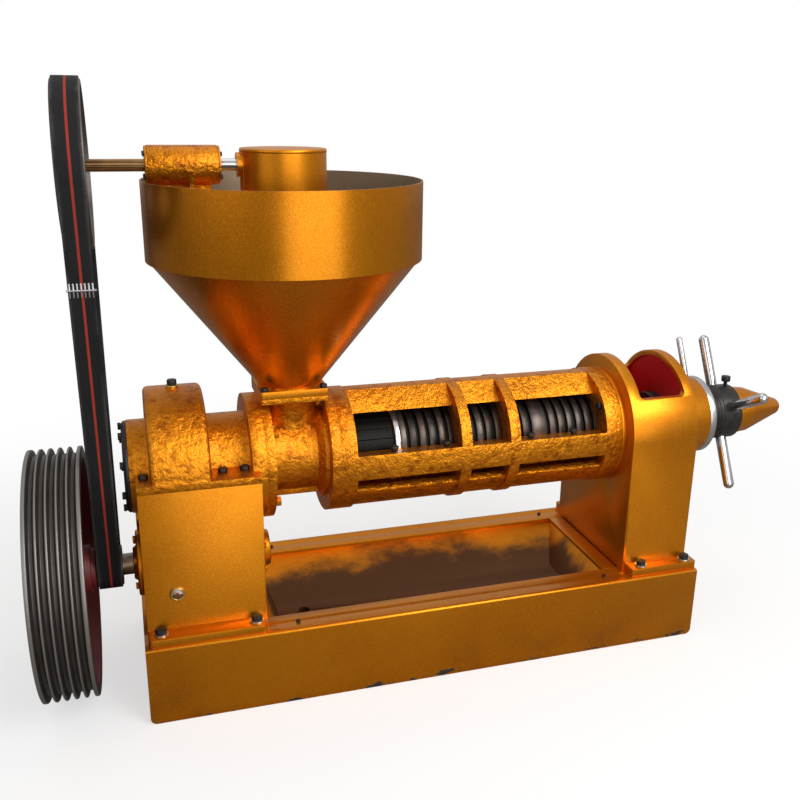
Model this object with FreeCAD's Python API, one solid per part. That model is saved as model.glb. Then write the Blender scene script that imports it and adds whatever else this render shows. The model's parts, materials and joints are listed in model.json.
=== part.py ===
import FreeCAD, Part
import math
import os

# Belt-driven screw oil press: bed, split gearbox, hopper with stirred feed, split pressing cage round a
# worm, and a discharge stand with a screwed adjuster. Millimetres; X runs from the pulley end to the
# adjuster, Z is up and the origin is under the middle of the bed, which stands on Z = 0.

# ---- fits -----------------------------------------------------------------------------------------
FIT = 0.1               # radial clearance of a seated piece
RUN = 0.05              # radial clearance of a turning or sliding fit
FACE_GAP = 0.4          # axial gap between faces that move on each other
BOLT_FIT = 0.3          # radial clearance of a bolt in its hole

# ---- axes -----------------------------------------------------------------------------------------
AXIS_Z = 540            # height of the worm axis
INPUT_Y = -31           # drive shaft, in front of and below the worm
INPUT_Z = 308
TOP_SHAFT_Z = 1214      # hopper drive shaft

# ---- lengths along the machine --------------------------------------------------------------------
GEARBOX_MARGIN = 9      # bed left of the gearbox
GEARBOX_LENGTH = 268
NECK_FLANGE_OUT = 18    # neck flange beyond the gearbox wall
FEED_LENGTH = 172
CAGE_LENGTH = 725
END_RING_LENGTH = 12
STAND_LENGTH = 183
STAND_MARGIN = 13       # bed right of the stand

BED_LENGTH = (GEARBOX_MARGIN + GEARBOX_LENGTH + NECK_FLANGE_OUT + FEED_LENGTH + CAGE_LENGTH
              + END_RING_LENGTH + STAND_LENGTH + STAND_MARGIN)
BED_X0 = -BED_LENGTH / 2
BED_X1 = BED_LENGTH / 2
GEARBOX_X0 = BED_X0 + GEARBOX_MARGIN
GEARBOX_X1 = GEARBOX_X0 + GEARBOX_LENGTH
FEED_X0 = GEARBOX_X1 + NECK_FLANGE_OUT
FEED_X1 = FEED_X0 + FEED_LENGTH
CAGE_X1 = FEED_X1 + CAGE_LENGTH
STAND_X0 = CAGE_X1 + END_RING_LENGTH
STAND_X1 = STAND_X0 + STAND_LENGTH

# ---- bed ------------------------------------------------------------------------------------------
BED_WIDTH = 462
BED_HEIGHT = 190
RAIL_WALL = 10
RAIL_FLANGE = 70
RAIL_EDGE_RADIUS = 6
RAIL_END_RADIUS = 15
ANCHOR_HOLE_RADIUS = 9
ANCHOR_INSET = 110      # anchor holes from each end of the bed
CROSS_FLANGE = 40
TRAY_SHEET = 3
TRAY_DEPTH = 80
TRAY_SLOPE = 105        # run of each long wall
TRAY_END_SLOPE = 45
TRAY_RIM = 50
TRAY_SPOUT_RADIUS = 17
TRAY_SPOUT_DROP = 50
SCREW_RADIUS = 5
SCREW_HEAD = 4
SCREW_INSET = 62

# ---- gearbox --------------------------------------------------------------------------------------
CASE_HALF_DEPTH = BED_WIDTH / 2 - 49
CASE_WALL = 10
CASE_FOOT = 20
CASE_FOOT_DEPTH = BED_WIDTH / 2 - 6
JOINT_FLANGE = 17
HUMP_OFFSET = 30        # hump from the pulley-side wall
HUMP_LENGTH = 131
HUMP_EDGE_RADIUS = 12
MAIN_BOSS_RADIUS = 108
MAIN_BOSS_OUT = 12
NECK_FLANGE_RADIUS = 150
NECK_FLANGE_LENGTH = 32
MAIN_BEARING_RADIUS = 85
MAIN_BEARING_LENGTH = 40
QUILL_RADIUS = 50
SHAFT_RADIUS = 35
MAIN_COVER_THICKNESS = 12
INPUT_SHAFT_RADIUS = 25
INPUT_BEARING_RADIUS = 52
INPUT_BEARING_LENGTH = 24
INPUT_COVER_RADIUS = 77
INPUT_COVER_PCD_RADIUS = 62
REAR_COVER_RADIUS = 70
COUNTER_SHAFT_RADIUS = 20
COUNTER_BEARING_RADIUS = 36
COUNTER_COVER_RADIUS = 45
COUNTER_COVER = 7
COVER_PLATE = 12
COUNTER_BLIND = 6       # metal behind the countershaft's blind bearing seat
COVER_BOLT_DEPTH = 8.5  # reach of the cover bolts into the case
JOINT_BOLT_Y = 130
JOINT_BOLT_INSETS = (16, 188, 237)
BOLT_RADIUS = 6
BOLT_HEAD_RADIUS = 11
BOLT_HEAD = 9
COVER_BOLT_RADIUS = 5
FOOT_BOLT_RADIUS = 8
FOOT_BOLT_HEAD_RADIUS = 13
FOOT_BOLT_HEAD = 10
WASHER_RADIUS = 16
WASHER = 3
SIGHT_GLASS_X = 70      # from the pulley-side wall
SIGHT_GLASS_Z = 296
SIGHT_GLASS_RADIUS = 18
PLUG_RADIUS = 11
PLUG_HEIGHT = 12

# ---- gears ----------------------------------------------------------------------------------------
PRESSURE_ANGLE = math.radians(20)
FIRST_MODULE = 4
INPUT_TEETH = 16
COUNTER_TEETH = 47
SECOND_MODULE = 5
PINION_TEETH = 13
MAIN_TEETH = 53
FIRST_GEAR_WIDTH = 44
SECOND_GEAR_WIDTH = 70
MAIN_GEAR_OFFSET = 53   # main gear from the pulley-side wall
FIRST_GEAR_OFFSET = 134   # first reduction from the same wall
BACKLASH = 0.06         # share of the pitch left free
BEVEL_MODULE = 2.75
BEVEL_TEETH = 20
BEVEL_FACE = 8
BEVEL_HUB_RADIUS = 20
BEVEL_HUB = 12

# ---- pulleys and belts ----------------------------------------------------------------------------
V_PULLEY_RADIUS = 286
GROOVES = 5
GROOVE_PITCH = 21
GROOVE_DEPTH = 15
GROOVE_TOP = 17
GROOVE_BOTTOM = 8
V_RIM_EDGE = 6
V_RIM_WALL = 14
V_WEB = 16
V_HUB_RADIUS = 55
V_PULLEY_GAP = 12       # between the V-pulley and the flat pulley
FLAT_PULLEY_GAP = 24    # between the flat pulley and the shaft cover
BELT_WIDTH = 52
BELT_THICKNESS = 5
BELT_CLEARANCE = 0.3
FLAT_PULLEY_WIDTH = 58
SMALL_PULLEY_RADIUS = 46
LARGE_PULLEY_RADIUS = 171
LARGE_RIM_WALL = 8
LARGE_HUB_RADIUS = 30
LACING_Z = 982
LACING_HOOKS = 7

# ---- hopper and its drive -------------------------------------------------------------------------
HOPPER_OFFSET = 79      # hopper axis from the feed body's gearbox face
HOPPER_RADIUS = 305.5
HOPPER_SHEET = 2.5
HOPPER_RIM_Z = 1183
HOPPER_BAND = 171
HEM_HEIGHT = 21
HEM_OUT = 3
CONE_LAP = 18
CONE_BOTTOM_RADIUS = 76
PLATE_HALF = 79
PLATE = 9
BEAM_Z = 1120
BEAM_THICKNESS = 10
BEAM_WIDTH = 84
CAN_RADIUS = 95
CAN_TOP_Z = 1249
CAN_LID = 8
CAN_SHEET = 3
CAN_FLANGE_RADIUS = 26
TOP_SHAFT_RADIUS = 13
TOP_HOUSING_RADIUS = 41.5
TOP_HOUSING_OFFSET = HOPPER_RADIUS - 161.5    # hopper axis to the housing's near end
TOP_HOUSING_LENGTH = 146
TOP_BUSH_RADIUS = 28
TOP_BUSH_LENGTH = 26
HOUSING_CAP = 5
HOUSING_RIB = 11
HOUSING_FOOT = 10
AGITATOR_RADIUS = 12
AGITATOR_BUSH_RADIUS = 24
AGITATOR_BUSH_LENGTH = 18
AGITATOR_END_Z = 628
AGITATOR_ARMS = ((985, 215, 0), (905, 150, 60), (825, 95, 120))    # height, reach, heading in degrees
AGITATOR_ARM_RADIUS = 8
FEED_SCREW_RADIUS = 42
FEED_SCREW_TOP_Z = 712
FEED_SCREW_PITCH = 40

# ---- feed body ------------------------------------------------------------------------------------
FEED_FLANGE = 21
FEED_FLANGE_RADIUS = 150
FEED_END_FLANGE = 22
BARREL_RADIUS = 95
COLLAR_RADIUS = 116
COLLAR_LENGTH = 8
NECK_RADIUS = 61
NECK_BORE = 50
FEED_BORE = 64
FEED_TOP_FLANGE = 12
FEED_TOP_Z = 699
FOOT_BAR_HALF = 62
FOOT_BAR = 18
FOOT_BAR_Z = 454
STUD_CIRCLE = 130
STUD_ANGLES = (40, 140, 220, 320)
STUD_DEPTH = 20         # reach of the flange studs into the next casting

# ---- cage -----------------------------------------------------------------------------------------
CAGE_RADIUS = 150
CAGE_END_FLANGE = 38
CAGE_OUTLET_FLANGE = 44
RIB_OFFSETS = (295, 421)    # rib starts from the feed end of the cage
RIB_LENGTH = 26
WINDOW_LOW = 10         # degrees above the joint where the upper windows start
WINDOW_HIGH = 60
WINDOW_RIM = 83         # degrees above the joint where the slope over each window meets the outside
BAR_INNER = 119
SLOT_TOP = 13           # degrees below the joint where the lower slots start
SLOT_BOTTOM = 29
LOWER_BAR_RADIUS = 145
LOWER_BAR_INNER = 126
DRAIN_HALF_ANGLE = 8
RING_RADIUS = 92
RING_GROOVE_RADIUS = 84
RING_BORE = 62
RING_PITCHES = 23
RING_LAND = 15.5
WIDE_RING = 14          # which ring is double width
CLAMP_RING = 12
BAR_LENGTH = 147
BAR_COUNT = 20
BAR_OUTER = 84
BAR_GAP = 1.0
CAGE_BOLT_OFFSETS = (133, 264, 484, 601)
CAGE_BOLT_Y = 118
END_BOLT_ANGLES = (40, 140, 270)

# ---- worm -----------------------------------------------------------------------------------------
WORM_RADIUS = 60.5
FLIGHT_ROOT = 17
FLIGHT_TIP = 8
FLIGHT_STEPS = 18       # sections per turn
WORM_START = 16         # from the feed body's gearbox face
WORMS = (               # length, hub radius and pitch of the feed worm, then of each pressing worm
    (168, 40, 96),
    (104, 42, 74),
    (96, 45, 64),
    (88, 48, 56),
    (80, 51, 50),
    (76, 53, 46),
)
SPACER = 42
SPACER_RADIUS = 54
CHOKE_RADIUS = 60
CHOKE_LENGTH = 66

# ---- discharge stand and adjuster -----------------------------------------------------------------
STAND_RADIUS = BED_WIDTH / 2 - 47
STAND_WALL = 14
STAND_END_WALL = 18
STAND_FOOT = 22
STAND_FOOT_DEPTH = BED_WIDTH / 2 - 9
STAND_FOOT_OUT = 11
STAND_BORE = 66
WINDOW_Z = 645
WINDOW_INSET_LEFT = 29
WINDOW_INSET_RIGHT = 25
WINDOW_RADIUS = 14
BOSS_RADIUS = 104
BOSS_LENGTH = 95
SLEEVE_RADIUS = 72
SLEEVE_BORE = 52
SLEEVE_THROAT = 37
SLEEVE_INSET = 42       # inner end of the sleeve from the stand's outer face
SLEEVE_SHOULDER = 13
THRUST_BEARING_LENGTH = 40
THRUST_COLLAR = 25
LOCK_RING_LENGTH = 21
THREAD_SHOWN = 45
HUB_RADIUS = 74
HUB_LENGTH = 56
ROD_RADIUS = 14
ROD_REACH = 217
ROD_SOCKET = 58
ROD_TILT = 27           # degrees the first rod leans back from upright
LEVER_RADIUS = 8
LEVER_SOCKET = 90
SET_SCREW_RADIUS = 5
SET_SCREW_HEAD_RADIUS = 12
SET_SCREW_HEAD = 14
SET_SCREW_STAND = 12    # shank showing under the head
CONE_BASE_RADIUS = 66
CONE_STEP_RADIUS = 61
CONE_STEP = 47
CONE_LENGTH = 168
CONE_TIP_RADIUS = 17
CONE_WALL = 8


# ---- shape helpers --------------------------------------------------------------------------------
def vec(x, y, z):
    return FreeCAD.Vector(x, y, z)


def box(x0, x1, y0, y1, z0, z1):
    return Part.makeBox(x1 - x0, y1 - y0, z1 - z0, vec(x0, y0, z0))


def cyl_x(radius, x0, x1, y=0, z=AXIS_Z):
    return Part.makeCylinder(radius, x1 - x0, vec(x0, y, z), vec(1, 0, 0))


def cyl_z(radius, z0, z1, x=0, y=0):
    return Part.makeCylinder(radius, z1 - z0, vec(x, y, z0), vec(0, 0, 1))


def ring_x(outer, inner, x0, x1, y=0, z=AXIS_Z):
    return cyl_x(outer, x0, x1, y, z).cut(cyl_x(inner, x0 - 1, x1 + 1, y, z))


def ring_z(outer, inner, z0, z1, x=0, y=0):
    return cyl_z(outer, z0, z1, x, y).cut(cyl_z(inner, z0 - 1, z1 + 1, x, y))


def rounded_wire(points, radii):
    """Closed flat wire through the points, each corner rounded by its own radius."""
    starts, ends, edges = [], [], []
    count = len(points)
    for i, point in enumerate(points):
        before = (points[i - 1] - point).normalize()
        after = (points[(i + 1) % count] - point).normalize()
        half = before.getAngle(after) / 2
        reach = radii[i] / math.tan(half)
        starts.append(point + before * reach)
        ends.append(point + after * reach)
        if radii[i]:
            bisector = (before + after).normalize()
            middle = point + bisector * (radii[i] / math.sin(half) - radii[i])
            edges.append(Part.Arc(starts[i], middle, ends[i]).toShape())
    for i in range(count):
        following = starts[(i + 1) % count]
        if ends[i].distanceToPoint(following) > 1e-6:
            edges.append(Part.LineSegment(ends[i], following).toShape())
    return Part.Wire(Part.__sortEdges__(edges))


def prism(points, direction, radius=0, radii=None):
    wire = rounded_wire(points, radii or [radius] * len(points))
    return Part.Face(wire).extrude(direction)


def prism_x(outline, x0, x1, radius=0, radii=None):
    return prism([vec(x0, y, z) for y, z in outline], vec(x1 - x0, 0, 0), radius, radii)


def prism_y(outline, y0, y1, radius=0, radii=None):
    return prism([vec(x, y0, z) for x, z in outline], vec(0, y1 - y0, 0), radius, radii)


def prism_z(outline, z0, z1, radius=0, radii=None):
    return prism([vec(x, y, z0) for x, y in outline], vec(0, 0, z1 - z0), radius, radii)


def rectangle(a0, a1, b0, b1):
    return [(a0, b0), (a1, b0), (a1, b1), (a0, b1)]


def revolve_x(profile, y=0, z=AXIS_Z, radii=None, angle=360, start=0):
    """Turn a profile of (x, radius) points about a line along X; start is degrees from straight up."""
    points = [vec(x, y, z + r) for x, r in profile]
    face = Part.Face(rounded_wire(points, radii or [0] * len(points)))
    face.rotate(vec(0, y, z), vec(1, 0, 0), start)
    return face.revolve(vec(0, y, z), vec(1, 0, 0), angle)


def revolve_z(profile, x=0, y=0):
    """Turn a profile of (radius, z) points about a vertical line."""
    points = [vec(x + r, y, z) for r, z in profile]
    face = Part.Face(rounded_wire(points, [0] * len(points)))
    return face.revolve(vec(x, y, 0), vec(0, 0, 1), 360)


def sector_x(outer, inner, x0, x1, a0, a1):
    """Ring sector about the worm axis, from a0 to a1 degrees above the front joint line."""
    face = Part.Face(rounded_wire([vec(x0, -r, AXIS_Z) for r in (inner, outer)]
                                  + [vec(x1, -r, AXIS_Z) for r in (outer, inner)], [0] * 4))
    face.rotate(vec(0, 0, AXIS_Z), vec(1, 0, 0), -a0)
    return face.revolve(vec(0, 0, AXIS_Z), vec(1, 0, 0), -(a1 - a0))


def around_x(radius, degrees, y=0, z=AXIS_Z):
    angle = math.radians(degrees)
    return y + radius * math.cos(angle), z + radius * math.sin(angle)


def mirror_y(shape):
    return shape.mirror(vec(0, 0, 0), vec(0, 1, 0))


def fuse(shapes):
    return shapes[0].multiFuse(shapes[1:]).removeSplitter()


def group(shapes):
    return Part.makeCompound(shapes)


def place(shape, position, direction):
    shape.Placement = FreeCAD.Placement(position, FreeCAD.Rotation(vec(0, 0, 1), direction))
    return shape


def hexagon(radius, height):
    corners = [(radius * math.cos(math.radians(60 * i)), radius * math.sin(math.radians(60 * i)))
               for i in range(6)]
    return prism_z(corners, 0, height)


def bolt(position, direction, shank, radius=BOLT_RADIUS, head_radius=BOLT_HEAD_RADIUS, head=BOLT_HEAD):
    """Hexagon bolt whose head sits at position and points along direction."""
    body = hexagon(head_radius, head).fuse(cyl_z(radius, -shank, 0))
    return place(body, position, direction)


def bolt_hole(position, direction, depth, radius=BOLT_RADIUS):
    return place(cyl_z(radius + BOLT_FIT, -depth, 1), position, direction)


def circle_x(count, radius, x, y, z, first=0):
    """Points on a circle about a line along X."""
    places = []
    for i in range(count):
        py, pz = around_x(radius, first + 360 * i / count, y, z)
        places.append(vec(x, py, pz))
    return places


def involute_points(module, teeth, steps=3, addendum=0.95, dedendum=1.25, backlash=BACKLASH):
    """Outline of a spur gear as points, with a tooth centred on angle zero."""
    pitch = module * teeth / 2
    base = pitch * math.cos(PRESSURE_ANGLE)
    tip = pitch + addendum * module
    root = pitch - dedendum * module
    half_pitch_tooth = math.pi / (2 * teeth) * (1 - backlash)
    pitch_involute = math.tan(PRESSURE_ANGLE) - PRESSURE_ANGLE

    def half_angle(radius):
        if radius <= base:
            return half_pitch_tooth + pitch_involute
        angle = math.acos(base / radius)
        return half_pitch_tooth + pitch_involute - (math.tan(angle) - angle)

    start = max(base, root + 0.1 * module)
    radii = [start + (tip - start) * i / steps for i in range(steps + 1)]
    flank = [(root, half_angle(start) + 0.04 / teeth)] + [(r, half_angle(r)) for r in radii]
    points = []
    for tooth in range(teeth):
        centre = 2 * math.pi * tooth / teeth
        points += [(r, centre - a) for r, a in flank]
        points += [(r, centre + a) for r, a in reversed(flank)]
    return [(r * math.cos(a), r * math.sin(a)) for r, a in points]


def gear_wire(outline, scale, height, turn):
    cos, sin = math.cos(turn), math.sin(turn)
    points = [vec(scale * (x * cos - y * sin), scale * (x * sin + y * cos), height) for x, y in outline]
    return Part.makePolygon(points + [points[0]])


def spur_gear(module, teeth, width, bore, x, y, z, tooth_angle):
    """Gear about a line along X, one tooth centred at tooth_angle degrees from +Y towards +Z."""
    wire = gear_wire(involute_points(module, teeth), 1, 0, 0)
    blank = Part.Face(wire).extrude(vec(0, 0, width)).cut(cyl_z(bore, -1, width + 1))
    blank.rotate(vec(0, 0, 0), vec(0, 0, 1), tooth_angle)
    blank.rotate(vec(0, 0, 0), vec(0, 1, 0), 90)
    blank.rotate(vec(0, 0, 0), vec(1, 0, 0), 90)
    blank.translate(vec(x, y, z))
    return blank


def bevel_gear(bore, turn):
    """Mitre gear whose cones meet at the origin and whose back lies below, with a hub behind it."""
    outline = involute_points(BEVEL_MODULE, BEVEL_TEETH, steps=1, addendum=0.8, backlash=0.2)
    radius = BEVEL_MODULE * BEVEL_TEETH / 2
    front = (radius - BEVEL_FACE) / radius
    back_wire = gear_wire(outline, 1, -radius, turn)
    front_wire = gear_wire(outline, front, -radius * front, turn)
    teeth = Part.makeLoft([back_wire, front_wire], True, True)
    body = teeth.fuse(cyl_z(BEVEL_HUB_RADIUS, -radius - BEVEL_HUB, -radius))
    return body.cut(cyl_z(bore, -radius - BEVEL_HUB - 1, 0)).removeSplitter()


def counter_axis():
    """Countershaft place: both gear centre distances met, on the side away from the front."""
    first = FIRST_MODULE * (INPUT_TEETH + COUNTER_TEETH) / 2
    second = SECOND_MODULE * (PINION_TEETH + MAIN_TEETH) / 2
    dy, dz = INPUT_Y, INPUT_Z - AXIS_Z
    span = math.hypot(dy, dz)
    along = (second ** 2 - first ** 2 + span ** 2) / (2 * span)
    aside = math.sqrt(second ** 2 - along ** 2)
    return (along * dy - aside * dz) / span, AXIS_Z + (along * dz + aside * dy) / span


COUNTER_Y, COUNTER_Z = counter_axis()
HOPPER_X = FEED_X0 + HOPPER_OFFSET
RING_X0 = FEED_X1 + BAR_LENGTH + CLAMP_RING
NECK_FLANGE_X0 = FEED_X0 - NECK_FLANGE_LENGTH
MAIN_BEARING_LEFT = GEARBOX_X0 - MAIN_BOSS_OUT
MAIN_BEARING_RIGHT = NECK_FLANGE_X0 - 3 - MAIN_BEARING_LENGTH
MAIN_GEAR_X = GEARBOX_X0 + MAIN_GEAR_OFFSET
FIRST_GEAR_X = GEARBOX_X0 + FIRST_GEAR_OFFSET
CASE_FLOOR_Z = BED_HEIGHT + CASE_FOOT
COVER_FACE_X = GEARBOX_X0 - COVER_PLATE
FLAT_PULLEY_X1 = COVER_FACE_X - 8 - FLAT_PULLEY_GAP
FLAT_PULLEY_X0 = FLAT_PULLEY_X1 - FLAT_PULLEY_WIDTH
V_PULLEY_WIDTH = GROOVES * GROOVE_PITCH + 2 * V_RIM_EDGE
V_PULLEY_X1 = FLAT_PULLEY_X0 - V_PULLEY_GAP
V_PULLEY_X0 = V_PULLEY_X1 - V_PULLEY_WIDTH
BELT_X0 = (FLAT_PULLEY_X0 + FLAT_PULLEY_X1 - BELT_WIDTH) / 2
BOSS_X1 = STAND_X1 + BOSS_LENGTH
LOCK_RING_X1 = BOSS_X1 + LOCK_RING_LENGTH
HUB_X0 = LOCK_RING_X1 + THREAD_SHOWN
HUB_X1 = HUB_X0 + HUB_LENGTH
ROD_X = HUB_X0 + 23
SLEEVE_X0 = STAND_X1 - SLEEVE_INSET
SHOULDER_X = STAND_X1 + SLEEVE_SHOULDER
CAN_BOTTOM_Z = BEAM_Z + BEAM_THICKNESS
HOUSING_X1 = HOPPER_X - TOP_HOUSING_OFFSET
HOUSING_X0 = HOUSING_X1 - TOP_HOUSING_LENGTH


# ---- bed ------------------------------------------------------------------------------------------
def front_rail():
    front = -BED_WIDTH / 2
    inner = front + RAIL_FLANGE
    section = prism_x([(front, 0), (inner, 0), (inner, RAIL_WALL), (front + RAIL_WALL, RAIL_WALL),
                       (front + RAIL_WALL, BED_HEIGHT - RAIL_WALL), (inner, BED_HEIGHT - RAIL_WALL),
                       (inner, BED_HEIGHT), (front, BED_HEIGHT)], BED_X0, BED_X1,
                      radii=[0, 0, 0, 0, 0, 0, 0, RAIL_EDGE_RADIUS])
    side = prism_y(rectangle(BED_X0, BED_X1, 0, BED_HEIGHT), front - 1, 0,
                   radii=[RAIL_END_RADIUS, RAIL_END_RADIUS, 0, 0])
    rail = section.common(side)
    holes = [cyl_z(ANCHOR_HOLE_RADIUS, -1, RAIL_WALL + 1, x, inner - RAIL_FLANGE / 2)
             for x in (BED_X0 + ANCHOR_INSET, BED_X1 - ANCHOR_INSET)]
    return rail.cut(group(holes + rail_bolt_holes()))


def rail_bolt_holes():
    holes = [bolt_hole(p, vec(0, 0, 1), BED_HEIGHT, FOOT_BOLT_RADIUS) for p in foot_bolt_places()]
    holes += [bolt_hole(p, vec(0, 0, 1), RAIL_WALL + 5, SCREW_RADIUS / 2) for p in tray_screw_places()]
    upper = box(BED_X0, BED_X1, -BED_WIDTH, BED_WIDTH, BED_HEIGHT / 2, BED_HEIGHT * 2)
    return [hole.common(upper) for hole in holes]


def cross_member(x0, flange_to_right, end_plate):
    """Channel across the bed: a web between the rails and a top flange level with theirs."""
    inside = BED_WIDTH / 2 - RAIL_WALL
    between = BED_WIDTH / 2 - RAIL_FLANGE
    web_x0 = x0 if flange_to_right else x0 + CROSS_FLANGE - RAIL_WALL
    web = prism_x([(-inside, RAIL_WALL), (inside, RAIL_WALL), (inside, BED_HEIGHT - RAIL_WALL),
                   (-inside, BED_HEIGHT - RAIL_WALL)], web_x0, web_x0 + RAIL_WALL)
    flange = box(x0, x0 + CROSS_FLANGE, -between, between, BED_HEIGHT - RAIL_WALL, BED_HEIGHT)
    if end_plate:
        web = web.fuse(box(web_x0, web_x0 + RAIL_WALL, -between, between, 0, RAIL_WALL))
    return web.fuse(flange).removeSplitter()


def tray_span():
    return GEARBOX_X1 + 8, STAND_X0 - 2 - CROSS_FLANGE


def drip_tray():
    x0, x1 = tray_span()
    half = BED_WIDTH / 2 - RAIL_FLANGE - 1
    top = BED_HEIGHT - RAIL_WALL

    def pan(grow, top_z, bottom_z):
        def level(z, inset_x, inset_y):
            return Part.makePolygon([vec(x, y, z) for x, y in (
                (x0 + inset_x - grow, -half + inset_y - grow), (x1 - inset_x + grow, -half + inset_y - grow),
                (x1 - inset_x + grow, half - inset_y + grow), (x0 + inset_x - grow, half - inset_y + grow),
                (x0 + inset_x - grow, -half + inset_y - grow))])
        return Part.makeLoft([level(bottom_z, TRAY_END_SLOPE, TRAY_SLOPE), level(top_z, 0, 0)], True, True)

    floor = top - TRAY_DEPTH
    rim = box(x0 - TRAY_RIM / 2, x1 + TRAY_RIM / 2, -half - TRAY_RIM, half + TRAY_RIM, top - TRAY_SHEET, top)
    spout_x = x0 + 2.5 * TRAY_END_SLOPE
    spout = cyl_z(TRAY_SPOUT_RADIUS, floor - TRAY_SPOUT_DROP, floor, spout_x)
    hollow = pan(0, top, floor)
    bore = cyl_z(TRAY_SPOUT_RADIUS - TRAY_SHEET, floor - TRAY_SPOUT_DROP - 1, floor + 1, spout_x)
    solid = fuse([pan(TRAY_SHEET, top, floor - TRAY_SHEET), rim, spout]).cut(hollow).cut(bore)
    holes = [bolt_hole(p, vec(0, 0, 1), RAIL_WALL + 5, SCREW_RADIUS / 2) for p in tray_screw_places()]
    return solid.cut(group(holes))


def tray_screw_places():
    y = BED_WIDTH / 2 - RAIL_FLANGE / 2
    x0, x1 = tray_span()
    return [vec(x, side * y, BED_HEIGHT) for x in (x0 + SCREW_INSET, x1 - 17) for side in (-1, 1)]


def tray_screws():
    return group([bolt(p, vec(0, 0, 1), RAIL_WALL + TRAY_SHEET + 4, SCREW_RADIUS / 2, SCREW_RADIUS,
                       SCREW_HEAD) for p in tray_screw_places()])


# ---- gearbox --------------------------------------------------------------------------------------
def foot_bolt_places():
    """Bolt places on the rails: gearbox feet first, then the stand's feet."""
    gearbox_y = (CASE_HALF_DEPTH + CASE_FOOT_DEPTH) / 2 - 4
    stand_y = (STAND_RADIUS + STAND_FOOT_DEPTH) / 2
    places = [vec(x, side * gearbox_y, BED_HEIGHT)
              for x in (GEARBOX_X0 + 28, GEARBOX_X1 - 26) for side in (-1, 1)]
    places += [vec(x, side * stand_y, BED_HEIGHT)
               for x in (STAND_X0 + 42, STAND_X1 - 14) for side in (-1, 1)]
    return places


def foot_thickness(place_):
    return CASE_FOOT if place_.x < 0 else STAND_FOOT


def foot_bolts():
    bolts = []
    for p in foot_bolt_places():
        top = vec(p.x, p.y, BED_HEIGHT + foot_thickness(p) + WASHER)
        bolts.append(bolt(top, vec(0, 0, 1), foot_thickness(p) + WASHER + RAIL_WALL - 0.5,
                          FOOT_BOLT_RADIUS, FOOT_BOLT_HEAD_RADIUS, FOOT_BOLT_HEAD))
    return group(bolts)


def foot_washers():
    return group([ring_z(WASHER_RADIUS, FOOT_BOLT_RADIUS + BOLT_FIT, BED_HEIGHT + foot_thickness(p),
                         BED_HEIGHT + foot_thickness(p) + WASHER, p.x, p.y) for p in foot_bolt_places()])


def foot_holes():
    return group([bolt_hole(vec(p.x, p.y, BED_HEIGHT + 40), vec(0, 0, 1), 60, FOOT_BOLT_RADIUS)
                  for p in foot_bolt_places()])


def joint_bolt_places():
    return [vec(GEARBOX_X0 + inset, side * JOINT_BOLT_Y, AXIS_Z + JOINT_FLANGE)
            for inset in JOINT_BOLT_INSETS for side in (-1, 1)]


def joint_bolts():
    return group([bolt(p, vec(0, 0, 1), JOINT_FLANGE + 30) for p in joint_bolt_places()])


def joint_bolt_holes():
    return group([bolt_hole(p, vec(0, 0, 1), JOINT_FLANGE + 34) for p in joint_bolt_places()])


def main_bore():
    """Everything cut round the worm axis: the hump's hollow, both bearing seats and the way between."""
    return group([
        cyl_x(MAIN_BEARING_RADIUS, GEARBOX_X0 - MAIN_BOSS_OUT - 1, GEARBOX_X0 + HUMP_OFFSET + CASE_WALL + 1),
        cyl_x(CASE_HALF_DEPTH - CASE_WALL, GEARBOX_X0 + HUMP_OFFSET + CASE_WALL,
              GEARBOX_X0 + HUMP_OFFSET + HUMP_LENGTH - CASE_WALL),
        cyl_x(MAIN_BEARING_RADIUS, GEARBOX_X0 + HUMP_OFFSET + HUMP_LENGTH - CASE_WALL - 1,
              MAIN_BEARING_RIGHT + MAIN_BEARING_LENGTH),
        cyl_x(QUILL_RADIUS + 4, MAIN_BEARING_RIGHT, FEED_X0 + 1),
    ])


def boss_blank(above):
    """Both bearing bosses and the neck flange, on one side of the joint."""
    side = box(BED_X0 - 100, FEED_X0 + 100, -400, 400, *((AXIS_Z, 2 * AXIS_Z) if above else (0, AXIS_Z)))
    neck_start = GEARBOX_X0 + HUMP_OFFSET + HUMP_LENGTH - 2 if above else MAIN_BEARING_RIGHT - 5
    left = cyl_x(MAIN_BOSS_RADIUS, GEARBOX_X0 - MAIN_BOSS_OUT, GEARBOX_X0 + HUMP_OFFSET + 2)
    neck = cyl_x(MAIN_BOSS_RADIUS, neck_start, NECK_FLANGE_X0 + 1)
    flange = cyl_x(NECK_FLANGE_RADIUS, NECK_FLANGE_X0, FEED_X0)
    return [part.common(side) for part in (left, neck, flange)]


def side_bores():
    """Bearing seats of the drive shaft, through both walls, and of the countershaft, blind at one end."""
    return group([cyl_x(INPUT_BEARING_RADIUS + FIT, GEARBOX_X0 - 1, GEARBOX_X1 + 1, INPUT_Y, INPUT_Z),
                  cyl_x(COUNTER_BEARING_RADIUS + FIT, GEARBOX_X0 - 1, GEARBOX_X1 - COUNTER_BLIND,
                        COUNTER_Y, COUNTER_Z)])


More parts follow.
